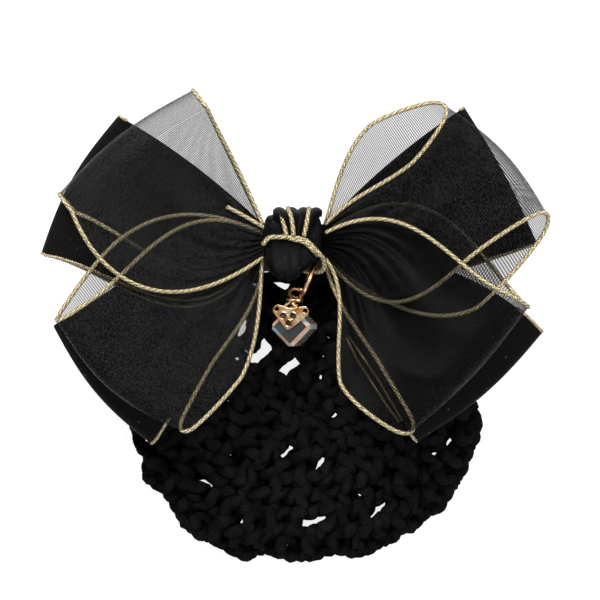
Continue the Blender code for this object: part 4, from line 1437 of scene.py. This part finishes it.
jitter = do_vector(crochet, "SCALE", do_vector(crochet, "SUBTRACT", patchy.outputs["Color"], (0.5, 0.5, 0.5)),
                   Scale=times(crochet, given["Unevenness"], JITTER_SHARE))


def turning(length):
    """The angle along a round, with a whole number of repeats in it."""
    repeats = do_math(crochet, "ROUND", do_math(crochet, "DIVIDE", spline.outputs["Length"], length))
    turns = scaled(crochet, run.outputs["Factor"], repeats, start_turn)
    return times(crochet, turns, 2 * pi)


def moved_by(rise, *steps):
    """The round moved by an uneven step and by amounts along directions, as a bare path."""
    offset = jitter
    for way, amount in steps:
        offset = do_vector(crochet, "ADD", offset, do_vector(crochet, "SCALE", way, Scale=amount))
    moved = add_node(crochet, "GeometryNodeSetPosition", Geometry=store(crochet, even, "rise", rise),
                     Offset=offset)
    again = add_node(crochet, "GeometryNodeResampleCurve", {"mode": "LENGTH"},
                     Curve=moved.outputs["Geometry"], Length=PATH_SPACING)
    return add_node(crochet, "GeometryNodeCurveToMesh", Curve=again.outputs["Curve"]).outputs["Mesh"]


def sine(angle):
    return do_math(crochet, "SINE", angle)


def cosine(angle):
    return do_math(crochet, "COSINE", angle)


def half_wave(angle):
    return scaled(crochet, sine(angle), 0.5, 0.5)


width = given["Chain width"]
paths = []
chain = turning(given["Chain length"])
for half_turn in (0.0, pi):
    angle = do_math(crochet, "ADD", chain, half_turn)
    paths.append(moved_by(half_wave(angle), (sideways, times(crochet, cosine(angle), width)),
                          (out_way, times(crochet, sine(angle), width))))
zigzag = turning(given["Link length"])
there = scaled(crochet, cosine(zigzag), -0.5, 0.5)
inwards = times(crochet, there, times(crochet, given["Link reach"], -1.0))
curl = times(crochet, sine(times(crochet, zigzag, 2.0)), given["Link curl"])
lift = times(crochet, sine(zigzag), times(crochet, width, LINK_LIFT))
paths.append(moved_by(half_wave(zigzag), (sideways, inwards), (tangent, curl), (out_way, lift)))
real = add_node(crochet, "GeometryNodeRealizeInstances", Geometry=joined_parts(crochet, paths))
feed(crochet, result["Geometry"], real.outputs["Geometry"])
print("crochet round", len(crochet.nodes), "nodes")

# %% The soft cord tree
YARN_SPACING = 0.75 * MM
YARN_SIDES = 10
TURN_SCALE = 260.0
TURN_SWING = (4.0, -2.0)
soft_cord, given, result = new_tree(
    "soft cord", "GeometryNodeTree", ["Geometry"], Geometry="Geometry", Yarn_radius=YARN_RADIUS,
    Flatness=TAPE_THICKNESS, Turn=TAPE_TURN, Point_spacing=YARN_SPACING, Yarn="Material")
run = soft_cord.nodes.new("GeometryNodeSplineParameter")
marked = store(soft_cord, even_curve(soft_cord, given), "along", run.outputs["Length"])
lying = add_node(soft_cord, "GeometryNodeSetCurveNormal", {"mode": "Z_UP"}, Curve=marked)
where = soft_cord.nodes.new("GeometryNodeInputPosition").outputs["Position"]
uneven = add_node(soft_cord, "ShaderNodeTexNoise", Vector=where, Scale=TURN_SCALE, Detail=1.0)
swing = scaled(soft_cord, uneven.outputs["Fac"], *TURN_SWING)
turned = times(soft_cord, swing, given["Turn"])
tilted = add_node(soft_cord, "GeometryNodeSetCurveTilt", Curve=lying.outputs["Curve"], Tilt=turned)
ring = marked_ring(soft_cord, given["Yarn radius"], YARN_SIDES)
squash = add_node(soft_cord, "ShaderNodeCombineXYZ", X=1.0, Y=given["Flatness"], Z=1.0)
flat = add_node(soft_cord, "GeometryNodeTransform", Geometry=ring, Scale=squash.outputs["Vector"])
cord = add_node(soft_cord, "GeometryNodeCurveToMesh", Curve=tilted.outputs["Curve"],
                Profile_Curve=flat.outputs["Geometry"])
finish_tree(soft_cord, result, [cord.outputs["Mesh"]], given["Yarn"])
print("soft cord", len(soft_cord.nodes), "nodes")

# %% Gaps to see through
# Where the photograph shows the floor through both layers, the cords are led round the gap.
SIGHT_GAPS = [
    # from, to, clear half width, in millimetres in the clip's frame
    ((-9.2, -26.9), (-6.2, -24.2), 1.2),
    ((-1.9, -29.7), (0.7, -27.9), 1.1),
    ((-13.4, -20.8), (-12.0, -17.5), 0.6),
    ((-3.2, -8.0), (-1.8, -8.8), 0.8),
    ((4.2, -44.4), (4.3, -44.2), 0.0),
    ((-2.6, -51.8), (-0.3, -49.6), 0.45),
    ((5.9, -55.1), (8.0, -52.0), 0.2),
    ((-22.2, -58.0), (-20.6, -59.0), 0.4),
    ((26.6, -54.5), (26.9, -54.4), 0.0),
    ((16.5, -61.6), (16.8, -61.4), 0.0),
    ((20.2, -67.2), (23.6, -63.6), 0.4),
    ((3.2, -69.1), (8.0, -67.5), 0.7),
    ((36.6, -51.0), (37.0, -50.6), 0.3),
    ((39.4, -48.8), (40.4, -47.6), 0.4),
    ((-37.0, -47.8), (-36.0, -47.2), 0.6),
]
GAP_MARGIN = YARN_RADIUS * 0.85
SMOOTHINGS = 2
GAP_PASSES = 2
EDGE_HALVINGS = 14
FLOOR_ROOM = 0.1 * MM


def walked(mesh):
    """The closed paths of a mesh of bare edges, as lists of points with their rise."""
    beside = {}
    for edge in mesh.edges:
        a, b = edge.vertices
        beside.setdefault(a, []).append(b)
        beside.setdefault(b, []).append(a)
    rise = mesh.attributes["rise"].data
    paths, seen = [], set()
    for first in sorted(beside):
        if first in seen:
            continue
        path, here = [], first
        while here is not None:
            seen.add(here)
            path.append((mesh.vertices[here].co.copy(), rise[here].value))
            here = next((n for n in beside[here] if n not in seen), None)
        paths.append(path)
    return paths


def beside_gap(place, start, end):
    """The way from the nearest point of a gap's middle line to a place seen from above."""
    share = max(0.0, min(1.0, (place - start).dot(end - start) / (end - start).length_squared))
    return place - start.lerp(end, share)


def gap_edge(start, end, hole, angle):
    """The point of a gap's edge that lies at an angle from the gap's middle."""
    middle, way = (start + end) / 2, Vector((cos(angle), sin(angle)))
    near, far = 0.0, (end - start).length + hole
    for _ in range(EDGE_HALVINGS):
        reach = (near + far) / 2
        if beside_gap(middle + way * reach, start, end).length < hole:
            near = reach
        else:
            far = reach
    return middle + way * near


def parted(places):
    """A closed cord led round any gap that it would close, by the shorter way."""
    places = list(places)
    for start, end, clear in SIGHT_GAPS * GAP_PASSES:
        start, end = Vector(start) * MM, Vector(end) * MM
        hole = clear * MM + GAP_MARGIN
        closing = [beside_gap(place.xy, start, end).length < hole for place in places]
        if not any(closing) or all(closing):
            continue
        first = closing.index(False)
        order = [(first + k) % len(places) for k in range(len(places))] + [first]
        entry, run = first, []
        for k in order[1:]:
            if closing[k]:
                run.append(k)
                continue
            if run:
                middle = (start + end) / 2
                before, after = places[entry].xy - middle, places[k].xy - middle
                angle = atan2(before.y, before.x)
                turn = (atan2(after.y, after.x) - angle + pi) % (2 * pi) - pi
                for step, k_inside in enumerate(run, 1):
                    edge = gap_edge(start, end, hole, angle + turn * step / (len(run) + 1))
                    places[k_inside] = Vector((*edge, places[k_inside].z))
            entry, run = k, []
    return places


def laid(path):
    """A path parted round the gaps, smoothed, and kept above the floor."""
    places = parted([point for point, _ in path])
    for _ in range(SMOOTHINGS):
        places = parted([(places[k - 1] + places[k] * 2 + places[(k + 1) % len(places)]) / 4
                         for k in range(len(places))])
    lowest = YARN_RADIUS + FLOOR_ROOM
    return [Vector((p.x, p.y, max(p.z, lowest))) for p in places]


def bare_paths(name, rounds, **sizes):
    """The paths of the stitches along some rounds, each with the rise of its points."""
    starts, outs = [], []
    for k, (points, ways) in enumerate(rounds):
        starts += [ROUND_LAG * k] * len(points)
        outs += ways
    source = path_object(name, [points for points, _ in rounds], True,
                         [("out", "FLOAT_VECTOR", outs), ("start", "FLOAT", starts)])
    bare = grown_mesh(name, source, crochet, **sizes)
    paths = walked(bare)
    bpy.data.meshes.remove(bare)
    return paths


# %% Both layers
# The rim is a finer chain than the rest, and the net's top is drawn along the barrette as one more.
HEADING_FROM = Vector((-0.0150, -0.0064, 0))
HEADING_TO = Vector((0.0190, -0.0064, 0))
HEADING_HEIGHTS = (0.0078, 0.0040)
HEADING_POINTS = 60
HEADING_SWAY = 0.25 * MM
HEADING_WAVES = 9
HEADING_RISE = 0.4
RIM_CHAIN_LENGTH = 0.0048
RIM_CHAIN_WIDTH = 0.0008
front_paths = bare_paths("bag_rim", front_rounds[:1], Chain_length=RIM_CHAIN_LENGTH,
                         Chain_width=RIM_CHAIN_WIDTH)
front_paths += bare_paths("bag_front_rounds", front_rounds[1:])
back_paths = bare_paths("bag_back_rounds", back_rounds, Link_reach=-LINK_REACH)
heading = []
for k in range(HEADING_POINTS):
    share = 2 * k / HEADING_POINTS
    back = share > 1
    place = HEADING_FROM.lerp(HEADING_TO, 2 - share if back else share)
    sway = HEADING_SWAY * sin(HEADING_WAVES * pi * share)
    heading.append((Vector((place.x, place.y + sway, HEADING_HEIGHTS[back])), HEADING_RISE))
front_paths.append(heading)
for name, paths in (("bag_front_rounds", front_paths), ("bag_back_rounds", back_paths)):
    rises = [rise for path in paths for _, rise in path]
    source = path_object(name, [laid(path) for path in paths], True, [("rise", "FLOAT", rises)])
    mesh = grown_mesh(name, source, soft_cord, Yarn=yarn)
    bag = place_mesh(name, mesh, yarn)
    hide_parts("net_bag")
    print(name, len(paths), "cords,", len(mesh.polygons), "faces")

# %% [markdown]
# ## The barrette
# The barrette is plain steel and hidden behind the bow, so the frame's own piece stays and only
# gets its finish.

# %% Barrette
barrette = bpy.data.objects["barrette_clip"]
for slot in barrette.material_slots:
    slot.material = steel
print("barrette", len(barrette.data.polygons), "faces")

# %% [markdown]
# ## Floor, light and camera
# The clip lies on its back on a pale floor. Black cloth shows its form only where it catches light,
# so a large soft lamp stands at the upper left, others at the right and below, and the world fills
# the rest.
# The camera looks straight down, as the photograph does.

# %% Floor
FLOOR_HALF = 1.2
floor_mesh = bpy.data.meshes.new("pale_floor")
floor_mesh.from_pydata([(x * FLOOR_HALF, y * FLOOR_HALF, 0) for x, y in ((-1, -1), (1, -1), (1, 1), (-1, 1))],
                       [], [(0, 1, 2, 3)])
floor = put("pale_floor", floor_mesh)
paper, tree, shader = new_finish("pale_paper", (0.3, 0.3, 0.3), 0.8, Emission_Color=(1.0, 1.0, 1.0, 1.0),
                                 Emission_Strength=0.85)
varied = vary(tree, 60, 2, 0.0)
patchy = between(tree, varied["Patches"], (0.28, 0.28, 0.28), (0.32, 0.32, 0.32))
drive(tree, shader, Base_Color=patchy)
floor_mesh.materials.append(paper)
print("floor", 2 * FLOOR_HALF, "m wide")

# %% Lights
LAMPS = [
    # name, place, size in metres, watts
    ("key_lamp", (-0.12, 0.28, 0.36), 0.24, 2.6),
    ("side_lamp", (0.60, 0.10, 0.55), 0.35, 2.5),
    ("low_lamp", (0.05, -0.75, 0.40), 0.35, 1.0),
]
LAMP_TARGET = Vector((0.0, -0.01, 0.015))
WORLD_STRENGTH = 0.55
for name, place, size, power in LAMPS:
    lamp = bpy.data.lights.new(name, "AREA")
    lamp.shape = "DISK"
    lamp.size = size
    lamp.energy = power
    holder = put(name, lamp)
    holder.location = place
    holder.rotation_euler = (LAMP_TARGET - Vector(place)).to_track_quat("-Z", "Y").to_euler()
world = bpy.data.worlds.new("studio")
world.use_nodes = True
backdrop = world.node_tree.nodes["Background"].inputs
backdrop["Color"].default_value = (1.0, 1.0, 1.0, 1.0)
backdrop["Strength"].default_value = WORLD_STRENGTH
bpy.context.scene.world = world
bpy.context.scene.view_settings.view_transform = "Standard"
print("three lamps and a pale world")

# %% Camera
VIEW_CENTRE = (0.002, -0.012)
VIEW_WIDTH = 0.150
SUBJECT_HEIGHT = 0.022
CAMERA_HEIGHT = 0.90
SENSOR = 36.0
lens = bpy.data.cameras.new("top_camera")
lens.sensor_width = SENSOR
lens.sensor_fit = "HORIZONTAL"
lens.lens = SENSOR * (CAMERA_HEIGHT - SUBJECT_HEIGHT) / VIEW_WIDTH
lens.clip_start = 0.01
lens.clip_end = 10.0
camera = put("top_camera", lens)
camera.location = (*VIEW_CENTRE, CAMERA_HEIGHT)
bpy.context.scene.camera = camera
print("lens", round(lens.lens), "mm")
